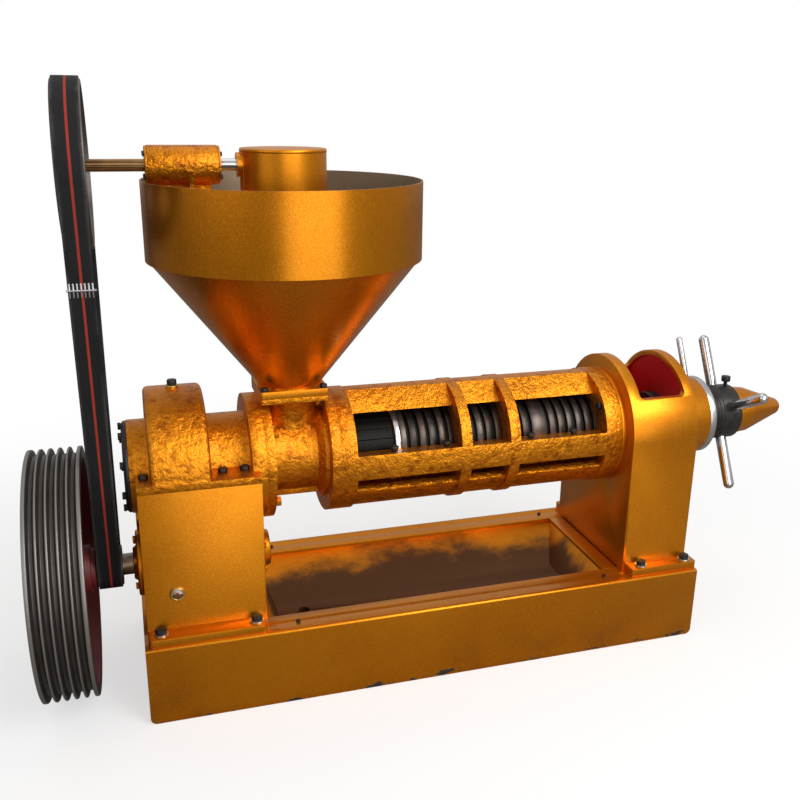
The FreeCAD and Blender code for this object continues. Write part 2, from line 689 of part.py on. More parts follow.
def gearbox_lower_case():
    depth, wall = CASE_HALF_DEPTH, CASE_WALL
    outer = box(GEARBOX_X0, GEARBOX_X1, -depth, depth, BED_HEIGHT, AXIS_Z)
    hollow = box(GEARBOX_X0 + wall, GEARBOX_X1 - wall, -depth + wall, depth - wall,
                 CASE_FLOOR_Z - wall, AXIS_Z + 1)
    foot = prism_z(rectangle(GEARBOX_X0, GEARBOX_X1 - 5, -CASE_FOOT_DEPTH, CASE_FOOT_DEPTH),
                   BED_HEIGHT, CASE_FLOOR_Z, radius=10)
    shell = outer.cut(hollow)
    bearing_walls = [cyl_x(radius, x0, x0 + INPUT_BEARING_LENGTH + COUNTER_BLIND, y, z)
                     for radius, y, z in ((INPUT_BEARING_RADIUS + 16, INPUT_Y, INPUT_Z),
                                          (COUNTER_BEARING_RADIUS + 8, COUNTER_Y, COUNTER_Z))
                     for x0 in (GEARBOX_X0, GEARBOX_X1 - INPUT_BEARING_LENGTH - COUNTER_BLIND)]
    lugs = [box(x - 15, x + 15, side * JOINT_BOLT_Y - 15, side * JOINT_BOLT_Y + 15, AXIS_Z - 42, AXIS_Z)
            for x in (GEARBOX_X0 + JOINT_BOLT_INSETS[0], GEARBOX_X0 + JOINT_BOLT_INSETS[1],
                      GEARBOX_X0 + JOINT_BOLT_INSETS[2]) for side in (-1, 1)]
    webs = [box(GEARBOX_X1 - 100, GEARBOX_X1 - wall / 2, side * JOINT_BOLT_Y - 15,
                side * JOINT_BOLT_Y + 15, AXIS_Z - 30, AXIS_Z) for side in (-1, 1)]
    limit = box(GEARBOX_X0, GEARBOX_X1, -depth, depth, 0, AXIS_Z)
    inside = [part.common(limit) for part in bearing_walls + lugs + webs]
    case = fuse([shell, foot] + inside + boss_blank(False))
    for cut in (main_bore(), side_bores(), joint_bolt_holes(), foot_holes(), case_bolt_holes()):
        case = case.cut(cut)
    return case


def gearbox_upper_case():
    depth, wall = CASE_HALF_DEPTH, CASE_WALL
    plate = box(GEARBOX_X0, GEARBOX_X1, -depth, depth, AXIS_Z, AXIS_Z + JOINT_FLANGE)
    hump_x0 = GEARBOX_X0 + HUMP_OFFSET
    hump = revolve_x([(hump_x0, 0), (hump_x0, depth), (hump_x0 + HUMP_LENGTH, depth),
                      (hump_x0 + HUMP_LENGTH, 0)], radii=[0, HUMP_EDGE_RADIUS, HUMP_EDGE_RADIUS, 0],
                     angle=180, start=-90)
    plug_seat = cyl_z(PLUG_RADIUS + 4, AXIS_Z + depth - 8, AXIS_Z + depth + 2, plug_x())
    case = fuse([plate, hump, plug_seat] + boss_blank(True))
    plug_hole = cyl_z(PLUG_RADIUS - 3 + FIT, AXIS_Z, AXIS_Z + depth + 4, plug_x())
    hollow = box(hump_x0 + HUMP_LENGTH, GEARBOX_X1 - wall, -MAIN_BEARING_RADIUS, MAIN_BEARING_RADIUS,
                 AXIS_Z - 1, AXIS_Z + 1)
    for cut in (main_bore(), group([plug_hole, hollow]), joint_bolt_holes(), case_bolt_holes()):
        case = case.cut(cut)
    return case


def plug_x():
    return GEARBOX_X0 + HUMP_OFFSET + HUMP_LENGTH / 2


def filler_ring():
    seat = AXIS_Z + CASE_HALF_DEPTH + 2
    return ring_z(PLUG_RADIUS + 3, PLUG_RADIUS - 3 + FIT, seat, seat + 5, plug_x())


def filler_plug():
    seat = AXIS_Z + CASE_HALF_DEPTH + 7
    head = hexagon(PLUG_RADIUS, PLUG_HEIGHT)
    return place(head.fuse(cyl_z(PLUG_RADIUS - 3, -20, 0)), vec(plug_x(), 0, seat), vec(0, 0, 1))


def sight_glass_bezel():
    place_ = vec(GEARBOX_X0 + SIGHT_GLASS_X, -CASE_HALF_DEPTH, SIGHT_GLASS_Z)
    ring = revolve_z([(12, 0), (SIGHT_GLASS_RADIUS, 0), (SIGHT_GLASS_RADIUS - 3, 6), (12, 6)])
    return place(ring, place_, vec(0, -1, 0))


def sight_glass_lens():
    place_ = vec(GEARBOX_X0 + SIGHT_GLASS_X, -CASE_HALF_DEPTH, SIGHT_GLASS_Z)
    return place(cyl_z(12 - FIT, 0, 4), place_, vec(0, -1, 0))


def main_bearing_cover():
    x1 = GEARBOX_X0 - MAIN_BOSS_OUT
    x0 = x1 - MAIN_COVER_THICKNESS
    cover = revolve_x([(x0, 0), (x0, MAIN_BOSS_RADIUS - 8), (x0 + 6, MAIN_BOSS_RADIUS - 2),
                       (x1, MAIN_BOSS_RADIUS - 2), (x1, QUILL_RADIUS + 6), (x1 - 8, QUILL_RADIUS + 6),
                       (x1 - 8, 0)])
    return cover.cut(main_cover_bolt_holes())


def main_cover_bolt_places():
    x = GEARBOX_X0 - MAIN_BOSS_OUT - MAIN_COVER_THICKNESS
    return circle_x(8, MAIN_BOSS_RADIUS - 14, x, 0, AXIS_Z, 22.5)


def main_cover_bolt_holes():
    return group([bolt_hole(p, vec(-1, 0, 0), MAIN_COVER_THICKNESS + 2 * COVER_BOLT_DEPTH, COVER_BOLT_RADIUS)
                  for p in main_cover_bolt_places()])


def cover_bolt_holes():
    return group([bolt_hole(p, way, COVER_PLATE + COVER_BOLT_DEPTH + 1, COVER_BOLT_RADIUS)
                  for p, way in input_cover_bolt_places()])


def case_bolt_holes():
    """Everything drilled in the gearbox for what is bolted to it."""
    return group([main_cover_bolt_holes(), cover_bolt_holes(), stud_holes()])


def input_bearing_cover():
    x1 = GEARBOX_X0
    bore = INPUT_SHAFT_RADIUS + RUN
    cover = revolve_x([(x1, bore), (x1, INPUT_COVER_RADIUS), (x1 - COVER_PLATE + 3, INPUT_COVER_RADIUS),
                       (x1 - COVER_PLATE, INPUT_COVER_RADIUS - 3), (x1 - COVER_PLATE, 42),
                       (x1 - COVER_PLATE - 8, 36), (x1 - COVER_PLATE - 8, bore)], INPUT_Y, INPUT_Z)
    return cover.cut(cover_bolt_holes())


def input_rear_cover():
    x0 = GEARBOX_X1
    cover = revolve_x([(x0, 0), (x0, REAR_COVER_RADIUS), (x0 + COVER_PLATE, REAR_COVER_RADIUS),
                       (x0 + COVER_PLATE, 48), (x0 + COVER_PLATE + 18, 42), (x0 + COVER_PLATE + 18, 0)],
                      INPUT_Y, INPUT_Z)
    pocket = cyl_x(INPUT_SHAFT_RADIUS + 3, x0 - 1, x0 + COVER_PLATE + 10, INPUT_Y, INPUT_Z)
    return cover.cut(pocket).cut(cover_bolt_holes())


def input_cover_bolt_places():
    """Bolt places and directions of the drive shaft's two covers."""
    left = circle_x(6, INPUT_COVER_PCD_RADIUS, GEARBOX_X0 - COVER_PLATE, INPUT_Y, INPUT_Z, 30)
    right = circle_x(6, INPUT_COVER_PCD_RADIUS - 3, GEARBOX_X1 + COVER_PLATE, INPUT_Y, INPUT_Z, 30)
    return [(p, vec(-1, 0, 0)) for p in left] + [(p, vec(1, 0, 0)) for p in right]


def countershaft_cover():
    return cyl_x(COUNTER_COVER_RADIUS, GEARBOX_X0 - COUNTER_COVER, GEARBOX_X0, COUNTER_Y, COUNTER_Z)


def cover_bolts():
    """Painted bolts of the drive shaft's covers."""
    return group([bolt(p, way, COVER_PLATE + COVER_BOLT_DEPTH, COVER_BOLT_RADIUS, 8, 6)
                  for p, way in input_cover_bolt_places()])


def main_cover_bolts():
    return group([bolt(p, vec(-1, 0, 0), MAIN_COVER_THICKNESS + COVER_BOLT_DEPTH, COVER_BOLT_RADIUS, 9, 7)
                  for p in main_cover_bolt_places()])


def main_bearings():
    inner = QUILL_RADIUS + RUN
    outer = MAIN_BEARING_RADIUS - FIT
    return [ring_x(outer, inner, x, x + MAIN_BEARING_LENGTH)
            for x in (MAIN_BEARING_LEFT, MAIN_BEARING_RIGHT)]


def shaft_bearings():
    rings = []
    far = GEARBOX_X1 - INPUT_BEARING_LENGTH
    for x in (GEARBOX_X0, far):
        rings.append(ring_x(INPUT_BEARING_RADIUS, INPUT_SHAFT_RADIUS + RUN, x,
                            x + INPUT_BEARING_LENGTH, INPUT_Y, INPUT_Z))
    for x in (GEARBOX_X0, far - COUNTER_BLIND):
        rings.append(ring_x(COUNTER_BEARING_RADIUS, COUNTER_SHAFT_RADIUS + RUN, x,
                            x + INPUT_BEARING_LENGTH, COUNTER_Y, COUNTER_Z))
    return rings


# ---- drive line and gears -------------------------------------------------------------------------
def drive_shaft():
    return cyl_x(INPUT_SHAFT_RADIUS, V_PULLEY_X0 - 8, GEARBOX_X1 + COVER_PLATE - 2, INPUT_Y, INPUT_Z)


def drive_pulley():
    """Five-groove V-pulley: grooved rim, one web and a hub that reaches to the flat pulley."""
    rim_inner = V_PULLEY_RADIUS - GROOVE_DEPTH - V_RIM_WALL
    profile = [(V_PULLEY_X0, rim_inner), (V_PULLEY_X0, V_PULLEY_RADIUS)]
    for i in range(GROOVES):
        middle = V_PULLEY_X0 + V_RIM_EDGE + GROOVE_PITCH * (i + 0.5)
        profile += [(middle - GROOVE_TOP / 2, V_PULLEY_RADIUS),
                    (middle - GROOVE_BOTTOM / 2, V_PULLEY_RADIUS - GROOVE_DEPTH),
                    (middle + GROOVE_BOTTOM / 2, V_PULLEY_RADIUS - GROOVE_DEPTH),
                    (middle + GROOVE_TOP / 2, V_PULLEY_RADIUS)]
    profile += [(V_PULLEY_X1, V_PULLEY_RADIUS), (V_PULLEY_X1, rim_inner)]
    rim = revolve_x(profile, INPUT_Y, INPUT_Z)
    web_x0 = (V_PULLEY_X0 + V_PULLEY_X1 - V_WEB) / 2
    web = cyl_x(rim_inner + 2, web_x0, web_x0 + V_WEB, INPUT_Y, INPUT_Z)
    hub = cyl_x(V_HUB_RADIUS, V_PULLEY_X0 + 12, V_PULLEY_X1 + V_PULLEY_GAP - 1, INPUT_Y, INPUT_Z)
    bore = cyl_x(INPUT_SHAFT_RADIUS + FIT, V_PULLEY_X0 - 20, V_PULLEY_X1 + 20, INPUT_Y, INPUT_Z)
    hub = hub.common(cyl_x(SMALL_PULLEY_RADIUS, V_PULLEY_X0, V_PULLEY_X1 + 20, INPUT_Y, INPUT_Z).fuse(
        cyl_x(V_HUB_RADIUS, V_PULLEY_X0, V_PULLEY_X1, INPUT_Y, INPUT_Z)))
    return fuse([rim, web, hub]).cut(bore)


def small_belt_pulley():
    return ring_x(SMALL_PULLEY_RADIUS, INPUT_SHAFT_RADIUS + FIT, FLAT_PULLEY_X0, FLAT_PULLEY_X1,
                  INPUT_Y, INPUT_Z)


def mesh_angle(y0, z0, y1, z1):
    """Direction of the second axis seen from the first, in degrees from +Y towards +Z."""
    return math.degrees(math.atan2(z1 - z0, y1 - y0))


def input_pinion():
    toward = mesh_angle(INPUT_Y, INPUT_Z, COUNTER_Y, COUNTER_Z)
    return spur_gear(FIRST_MODULE, INPUT_TEETH, FIRST_GEAR_WIDTH, INPUT_SHAFT_RADIUS + FIT,
                     FIRST_GEAR_X, INPUT_Y, INPUT_Z, toward)


def counter_gear():
    toward = mesh_angle(COUNTER_Y, COUNTER_Z, INPUT_Y, INPUT_Z)
    return spur_gear(FIRST_MODULE, COUNTER_TEETH, FIRST_GEAR_WIDTH, COUNTER_SHAFT_RADIUS + FIT,
                     FIRST_GEAR_X, COUNTER_Y, COUNTER_Z, toward + 180 / COUNTER_TEETH)


def counter_pinion():
    toward = mesh_angle(COUNTER_Y, COUNTER_Z, 0, AXIS_Z)
    return spur_gear(SECOND_MODULE, PINION_TEETH, SECOND_GEAR_WIDTH, COUNTER_SHAFT_RADIUS + FIT,
                     MAIN_GEAR_X, COUNTER_Y, COUNTER_Z, toward)


def main_gear():
    toward = mesh_angle(0, AXIS_Z, COUNTER_Y, COUNTER_Z)
    gear = spur_gear(SECOND_MODULE, MAIN_TEETH, SECOND_GEAR_WIDTH, QUILL_RADIUS + FIT,
                     MAIN_GEAR_X, 0, AXIS_Z, toward + 180 / MAIN_TEETH)
    rim = SECOND_MODULE * MAIN_TEETH / 2 - 22
    dish = ring_x(rim, QUILL_RADIUS + 20, MAIN_GEAR_X - 1, MAIN_GEAR_X + 24)
    other = ring_x(rim, QUILL_RADIUS + 20, MAIN_GEAR_X + SECOND_GEAR_WIDTH - 24,
                   MAIN_GEAR_X + SECOND_GEAR_WIDTH + 1)
    return gear.cut(dish).cut(other)


def countershaft():
    return cyl_x(COUNTER_SHAFT_RADIUS, GEARBOX_X0 + 1, GEARBOX_X1 - COUNTER_BLIND - 1, COUNTER_Y, COUNTER_Z)


def main_quill():
    return ring_x(QUILL_RADIUS, SHAFT_RADIUS + RUN, MAIN_BEARING_LEFT + 1,
                  MAIN_BEARING_RIGHT + MAIN_BEARING_LENGTH)


# ---- flat belt and hopper drive -------------------------------------------------------------------
def belt_loop(offset):
    """Face inside an open belt's line, offset outwards from both pulleys."""
    small = SMALL_PULLEY_RADIUS + offset
    large = LARGE_PULLEY_RADIUS + offset
    dy, dz = -INPUT_Y, TOP_SHAFT_Z - INPUT_Z
    span = math.hypot(dy, dz)
    heading = math.atan2(dz, dy)
    lean = math.acos((large - small) / span)

    def at(y, z, radius, angle):
        return vec(BELT_X0, y + radius * math.cos(angle), z + radius * math.sin(angle))

    rear, front = heading - (math.pi - lean), heading + (math.pi - lean)
    low_rear, low_front = at(INPUT_Y, INPUT_Z, small, rear), at(INPUT_Y, INPUT_Z, small, front)
    high_rear, high_front = at(0, TOP_SHAFT_Z, large, rear), at(0, TOP_SHAFT_Z, large, front)
    low = at(INPUT_Y, INPUT_Z, small, heading + math.pi)
    high = at(0, TOP_SHAFT_Z, large, heading)
    edges = [Part.Arc(low_rear, low, low_front).toShape(),
             Part.LineSegment(low_front, high_front).toShape(),
             Part.Arc(high_front, high, high_rear).toShape(),
             Part.LineSegment(high_rear, low_rear).toShape()]
    return Part.Face(Part.Wire(edges)), low_front, high_front


def flat_belt():
    inner = belt_loop(BELT_CLEARANCE)[0].extrude(vec(BELT_WIDTH, 0, 0))
    outer = belt_loop(BELT_CLEARANCE + BELT_THICKNESS)[0].extrude(vec(BELT_WIDTH, 0, 0))
    return outer.cut(inner)


def belt_lacing():
    """Joint of the belt's ends: a pin across the belt with a row of wire hooks over it."""
    _, low, high = belt_loop(BELT_CLEARANCE + BELT_THICKNESS)
    share = (LACING_Z - low.z) / (high.z - low.z)
    seat = low + (high - low) * share
    pin = Part.makeCylinder(2.2, BELT_WIDTH + 6, vec(-3, -1.4, 0), vec(1, 0, 0))
    pin = pin.common(box(-10, BELT_WIDTH + 10, -10, 0, -10, 10))
    step = BELT_WIDTH / LACING_HOOKS
    hooks = [box(step * (i + 0.3), step * (i + 0.7), -2, 0, -15, 15) for i in range(LACING_HOOKS)]
    lacing = fuse([pin] + hooks)
    lean = math.degrees(math.atan2(high.y - low.y, high.z - low.z))
    lacing.rotate(vec(0, 0, 0), vec(1, 0, 0), -lean)
    lacing.translate(vec(BELT_X0, seat.y, seat.z))
    return lacing


def large_belt_pulley():
    outer = ring_x(LARGE_PULLEY_RADIUS, LARGE_PULLEY_RADIUS - LARGE_RIM_WALL, FLAT_PULLEY_X0,
                   FLAT_PULLEY_X1, 0, TOP_SHAFT_Z)
    middle = (FLAT_PULLEY_X0 + FLAT_PULLEY_X1) / 2
    web = cyl_x(LARGE_PULLEY_RADIUS - LARGE_RIM_WALL / 2, middle - 5, middle + 5, 0, TOP_SHAFT_Z)
    hub = cyl_x(LARGE_HUB_RADIUS, FLAT_PULLEY_X0 + 6, FLAT_PULLEY_X1 - 6, 0, TOP_SHAFT_Z)
    holes = [cyl_x(34, middle - 6, middle + 6, *around_x(98, 90 * i + 45, 0, TOP_SHAFT_Z)) for i in range(4)]
    bore = cyl_x(TOP_SHAFT_RADIUS + FIT, FLAT_PULLEY_X0, FLAT_PULLEY_X1, 0, TOP_SHAFT_Z)
    return fuse([outer, web, hub]).cut(group(holes + [bore]))


def bevel_radius():
    return BEVEL_MODULE * BEVEL_TEETH / 2


def top_shaft():
    return cyl_x(TOP_SHAFT_RADIUS, FLAT_PULLEY_X0 - 4, HOPPER_X - bevel_radius() + BEVEL_FACE - 2,
                 0, TOP_SHAFT_Z)


def bevel_pinion():
    gear = bevel_gear(TOP_SHAFT_RADIUS + FIT, 0)
    gear.rotate(vec(0, 0, 0), vec(0, 1, 0), 90)
    gear.translate(vec(HOPPER_X, 0, TOP_SHAFT_Z))
    return gear


def crown_bevel_gear():
    gear = bevel_gear(AGITATOR_RADIUS + FIT, math.pi / BEVEL_TEETH)
    gear.translate(vec(HOPPER_X, 0, TOP_SHAFT_Z))
    return gear


def top_bearing_housing():
    housing = cyl_x(TOP_HOUSING_RADIUS, HOUSING_X0, HOUSING_X1, 0, TOP_SHAFT_Z)
    middle = (HOUSING_X0 + HOUSING_X1) / 2 + 16
    rib = box(middle - HOUSING_RIB / 2, middle + HOUSING_RIB / 2, -TOP_HOUSING_RADIUS + 6,
              TOP_HOUSING_RADIUS - 6, CAN_BOTTOM_Z, TOP_SHAFT_Z)
    foot = box(HOUSING_X0 + 16, HOUSING_X1 - 6, -BEAM_WIDTH / 2, BEAM_WIDTH / 2,
               CAN_BOTTOM_Z, CAN_BOTTOM_Z + HOUSING_FOOT)
    web = box(HOUSING_X0 + 24, HOUSING_X1 - 14, -6, 6, CAN_BOTTOM_Z, TOP_SHAFT_Z)
    bore = cyl_x(TOP_BUSH_RADIUS + FIT, HOUSING_X0 - 1, HOUSING_X1 + 1, 0, TOP_SHAFT_Z)
    return fuse([housing, rib, foot, web]).cut(bore)


def top_shaft_bushes():
    return group([ring_x(TOP_BUSH_RADIUS, TOP_SHAFT_RADIUS + RUN, x, x + TOP_BUSH_LENGTH, 0, TOP_SHAFT_Z)
                  for x in (HOUSING_X0, HOUSING_X1 - TOP_BUSH_LENGTH)])


def housing_caps():
    return group([ring_x(TOP_HOUSING_RADIUS - 1.5, TOP_SHAFT_RADIUS + RUN, x, x + HOUSING_CAP, 0, TOP_SHAFT_Z)
                  for x in (HOUSING_X0 - HOUSING_CAP, HOUSING_X1)])


def housing_cap_bolts():
    bolts = []
    for x, way in ((HOUSING_X0 - HOUSING_CAP, -1), (HOUSING_X1 + HOUSING_CAP, 1)):
        for p in circle_x(4, TOP_HOUSING_RADIUS - 8, x, 0, TOP_SHAFT_Z, 45):
            bolts.append(place(hexagon(5, 4), p, vec(way, 0, 0)))
    return group(bolts)


def gear_can():
    z0, z1 = CAN_BOTTOM_Z, CAN_TOP_Z - CAN_LID
    shell = revolve_z([(AGITATOR_RADIUS + 6, z0), (CAN_RADIUS, z0), (CAN_RADIUS, z1),
                       (CAN_RADIUS - CAN_SHEET, z1), (CAN_RADIUS - CAN_SHEET, z0 + CAN_SHEET),
                       (AGITATOR_RADIUS + 6, z0 + CAN_SHEET)], HOPPER_X)
    outside = HOPPER_X - CAN_RADIUS
    flange = cyl_x(CAN_FLANGE_RADIUS, outside - 8, outside + 8, 0, TOP_SHAFT_Z)
    keep = cyl_z(CAN_RADIUS - CAN_SHEET, z0 + CAN_SHEET, z1, HOPPER_X)
    bore = cyl_x(TOP_SHAFT_RADIUS + RUN, outside - 9, outside + 20, 0, TOP_SHAFT_Z)
    return shell.fuse(flange.cut(keep)).cut(bore).removeSplitter()


def can_lid():
    z0, z1 = CAN_TOP_Z - CAN_LID, CAN_TOP_Z
    inner = CAN_RADIUS - CAN_SHEET
    return revolve_z([(0, z1 - CAN_SHEET), (inner, z1 - CAN_SHEET), (inner, z0), (CAN_RADIUS + 0.5, z0),
                      (CAN_RADIUS + 0.5, z1 - 2), (CAN_RADIUS - 2, z1), (0, z1)], HOPPER_X)


def agitator_shaft():
    return cyl_z(AGITATOR_RADIUS, AGITATOR_END_Z, TOP_SHAFT_Z - bevel_radius() + 2, HOPPER_X)


def agitator_bush():
    z0 = CAN_BOTTOM_Z + CAN_SHEET
    return ring_z(AGITATOR_BUSH_RADIUS, AGITATOR_RADIUS + RUN, z0, z0 + AGITATOR_BUSH_LENGTH, HOPPER_X)


def agitator_arms():
    """Stirring arms on split hubs, each a rod right across the shaft with one bent-down end."""
    arms = []
    for height, reach, heading in AGITATOR_ARMS:
        hub = cyl_z(AGITATOR_RADIUS + 8, height - 12, height + 12)
        rod = Part.makeCylinder(AGITATOR_ARM_RADIUS, 2 * reach, vec(-reach, 0, height), vec(1, 0, 0))
        drop = cyl_z(AGITATOR_ARM_RADIUS - 2, height - 46, height, reach - AGITATOR_ARM_RADIUS)
        arm = fuse([hub, rod, drop]).cut(cyl_z(AGITATOR_RADIUS + FIT, height - 60, height + 60))
        arm.rotate(vec(0, 0, 0), vec(0, 0, 1), heading)
        arm.translate(vec(HOPPER_X, 0, 0))
        arms.append(arm)
    return group(arms)


def helical_flight(pitch, turns, hub, tip, root_width, tip_width, steps=FLIGHT_STEPS):
    """Ruled screw flight about Z from the origin up, wound right-handed."""
    count = max(4, int(round(turns * steps)))
    sections = []
    for i in range(count + 1):
        angle = 2 * math.pi * turns * i / count
        z = pitch * turns * i / count
        cos, sin = math.cos(angle), math.sin(angle)
        corners = [(hub - 1, -root_width / 2), (tip, -tip_width / 2), (tip, tip_width / 2),
                   (hub - 1, root_width / 2)]
        points = [vec(r * cos, r * sin, z + dz) for r, dz in corners]
        sections.append(Part.makePolygon(points + [points[0]]))
    return Part.makeLoft(sections, True, True)


def feed_screw():
    """Screw on the agitator's foot that presses the seed down the neck."""
    length = FEED_SCREW_TOP_Z - AGITATOR_END_Z
    flight = helical_flight(FEED_SCREW_PITCH, (length - 10) / FEED_SCREW_PITCH, AGITATOR_RADIUS + 6,
                            FEED_SCREW_RADIUS, 8, 5)
    flight.translate(vec(0, 0, 5))
    tube = cyl_z(AGITATOR_RADIUS + 6, 0, length)
    screw = flight.fuse(tube).cut(cyl_z(AGITATOR_RADIUS + FIT, -20, length + 20))
    screw = screw.common(cyl_z(FEED_SCREW_RADIUS + 5, 0, length))
    screw.translate(vec(HOPPER_X, 0, AGITATOR_END_Z))
    return screw


# ---- hopper ---------------------------------------------------------------------------------------
def hopper_band():
    z0, z1 = HOPPER_RIM_Z - HOPPER_BAND, HOPPER_RIM_Z
    outer, inner = HOPPER_RADIUS, HOPPER_RADIUS - HOPPER_SHEET
    return revolve_z([(inner, z0), (outer, z0), (outer, z1 - HEM_HEIGHT), (outer + HEM_OUT, z1 - HEM_HEIGHT),
                      (outer + HEM_OUT, z1), (inner, z1)], HOPPER_X)


def cone_top_radius():
    return HOPPER_RADIUS - HOPPER_SHEET - FIT


def hopper_base_z():
    return FEED_TOP_Z + 2 * PLATE


def hopper_cone():
    z0, z1 = hopper_base_z(), HOPPER_RIM_Z - HOPPER_BAND
    outer, sheet = cone_top_radius(), HOPPER_SHEET
    return revolve_z([(CONE_BOTTOM_RADIUS, z0), (CONE_BOTTOM_RADIUS, z0 + 4), (outer, z1), (outer, z1 + CONE_LAP),
                      (outer - sheet, z1 + CONE_LAP), (outer - sheet, z1 + 1),
                      (CONE_BOTTOM_RADIUS - sheet, z0 + 5), (CONE_BOTTOM_RADIUS - sheet, z0)], HOPPER_X)


def plate_bolt_places():
    reach = PLATE_HALF - 11
    return [vec(HOPPER_X + sx * reach, sy * reach, hopper_base_z()) for sx in (-1, 1) for sy in (-1, 1)]


def square_plate(z0, thickness, bore):
    plate = prism_z(rectangle(HOPPER_X - PLATE_HALF, HOPPER_X + PLATE_HALF, -PLATE_HALF, PLATE_HALF),
                    z0, z0 + thickness, radius=5)
    return plate.cut(cyl_z(bore, z0 - 1, z0 + thickness + 1, HOPPER_X)).cut(plate_bolt_holes())


def plate_bolt_holes():
    return group([bolt_hole(p, vec(0, 0, 1), 2 * PLATE + FEED_TOP_FLANGE + 2, COVER_BOLT_RADIUS)
                  for p in plate_bolt_places()])


def hopper_plate():
    return square_plate(FEED_TOP_Z + PLATE, PLATE, NECK_BORE + 10)


def hopper_gate_plate():
    return square_plate(FEED_TOP_Z, PLATE, NECK_BORE)


def hopper_bolts():
    return group([bolt(p, vec(0, 0, 1), 2 * PLATE + FEED_TOP_FLANGE - 1, COVER_BOLT_RADIUS, 9, 8)
                  for p in plate_bolt_places()])


def hopper_beam():
    """Flat bar across the hopper that carries the bearing housing and the gear can."""
    reach = HOPPER_RADIUS
    bar = box(HOPPER_X - reach, HOPPER_X + reach, -BEAM_WIDTH / 2, BEAM_WIDTH / 2, BEAM_Z, CAN_BOTTOM_Z)
    bar = bar.common(cyl_z(HOPPER_RADIUS - HOPPER_SHEET - FIT, 0, 2 * BEAM_Z, HOPPER_X))
    return bar.cut(cyl_z(AGITATOR_RADIUS + 6, 0, 2 * BEAM_Z, HOPPER_X))


# ---- feed body ------------------------------------------------------------------------------------
def feed_body():
    flange = cyl_x(FEED_FLANGE_RADIUS, FEED_X0, FEED_X0 + FEED_FLANGE)
    end = cyl_x(FEED_FLANGE_RADIUS, FEED_X1 - FEED_END_FLANGE, FEED_X1)
    barrel = cyl_x(BARREL_RADIUS, FEED_X0, FEED_X1)
    collar_x1 = FEED_X1 - FEED_END_FLANGE
    collar = revolve_x([(collar_x1 - COLLAR_LENGTH - 14, 0), (collar_x1 - COLLAR_LENGTH - 14, BARREL_RADIUS),
                        (collar_x1 - COLLAR_LENGTH, COLLAR_RADIUS), (collar_x1 + 1, COLLAR_RADIUS),
                        (collar_x1 + 1, 0)])
    neck = cyl_z(NECK_RADIUS, AXIS_Z, FEED_TOP_Z, HOPPER_X)
    shoulder = revolve_z([(0, FEED_TOP_Z - 40), (NECK_RADIUS, FEED_TOP_Z - 40), (PLATE_HALF - 4, FEED_TOP_Z - 8),
                          (PLATE_HALF - 4, FEED_TOP_Z), (0, FEED_TOP_Z)], HOPPER_X)
    top = prism_z(rectangle(HOPPER_X - PLATE_HALF, HOPPER_X + PLATE_HALF, -PLATE_HALF, PLATE_HALF),
                  FEED_TOP_Z - FEED_TOP_FLANGE, FEED_TOP_Z, radius=5)
    web = box(HOPPER_X + NECK_RADIUS - 12, FEED_X1 - FEED_END_FLANGE + 1, -7, 7, AXIS_Z, FEED_TOP_Z - 20)
    foot = box(FEED_X0 + FEED_FLANGE - 1, FEED_X1 - FEED_END_FLANGE - COLLAR_LENGTH, -FOOT_BAR_HALF,
               FOOT_BAR_HALF, FOOT_BAR_Z, FOOT_BAR_Z + FOOT_BAR)
    body = fuse([flange, barrel, collar, end, neck, shoulder, top, web, foot])
    hollow = cyl_x(FEED_BORE, FEED_X0 - 1, FEED_X1 + 1).fuse(cyl_z(NECK_BORE, AXIS_Z, FEED_TOP_Z + 1, HOPPER_X))
    return body.cut(hollow).cut(stud_holes()).cut(plate_bolt_holes())


def stud_holes():
    """Holes of the studs that hold the feed body to the gearbox and to the cage."""
    spans = ((FEED_X0 - STUD_DEPTH - 1, FEED_X0 + FEED_FLANGE + 1),
             (FEED_X1 - FEED_END_FLANGE - 1, FEED_X1 + STUD_DEPTH + 1))
    return group([cyl_x(BOLT_RADIUS + BOLT_FIT, x0, x1, *around_x(STUD_CIRCLE, a))
                  for x0, x1 in spans for a in STUD_ANGLES])


def feed_studs():
    """Nuts and stud ends: on the gearbox-side flange and, as bolt heads, on the cage-side flange."""
    pieces = []
    for angle in STUD_ANGLES:
        y, z = around_x(STUD_CIRCLE, angle)
        pieces.append(bolt(vec(FEED_X0 + FEED_FLANGE, y, z), vec(1, 0, 0), FEED_FLANGE + STUD_DEPTH,
                           head_radius=12, head=14))
        pieces.append(bolt(vec(FEED_X1 - FEED_END_FLANGE, y, z), vec(-1, 0, 0), FEED_END_FLANGE + STUD_DEPTH,
                           head_radius=8, head=3))
    return group(pieces)


# ---- cage -----------------------------------------------------------------------------------------
def cage_bays():
    """Open lengths of the cage between its flanges and ribs."""
    ribs = [FEED_X1 + offset for offset in RIB_OFFSETS]
    starts = [FEED_X1 + CAGE_END_FLANGE] + [rib + RIB_LENGTH for rib in ribs]
    ends = ribs + [CAGE_X1 - CAGE_OUTLET_FLANGE]
    return list(zip(starts, ends))


def bay_cuts(outer, inner, low, high, grow=0):
    return [sector_x(outer, inner, x0 - grow, x1 + grow, low, high) for x0, x1 in cage_bays()]


def cage_bolt_places(z):
    return [vec(FEED_X1 + offset, side * CAGE_BOLT_Y, z) for offset in CAGE_BOLT_OFFSETS for side in (-1, 1)]


def cage_bolt_holes():
    top = AXIS_Z + CAGE_RADIUS * math.sin(math.radians(WINDOW_LOW))
    return group([bolt_hole(p, vec(0, 0, 1), 62) for p in cage_bolt_places(top)])


def cage_blank(first, last):
    """Half tube, hollowed between its flanges so that only the ribs and flanges hold the rings."""
    bore = RING_RADIUS + FIT
    return sector_x(CAGE_RADIUS, bore, FEED_X1, CAGE_X1, first, last)


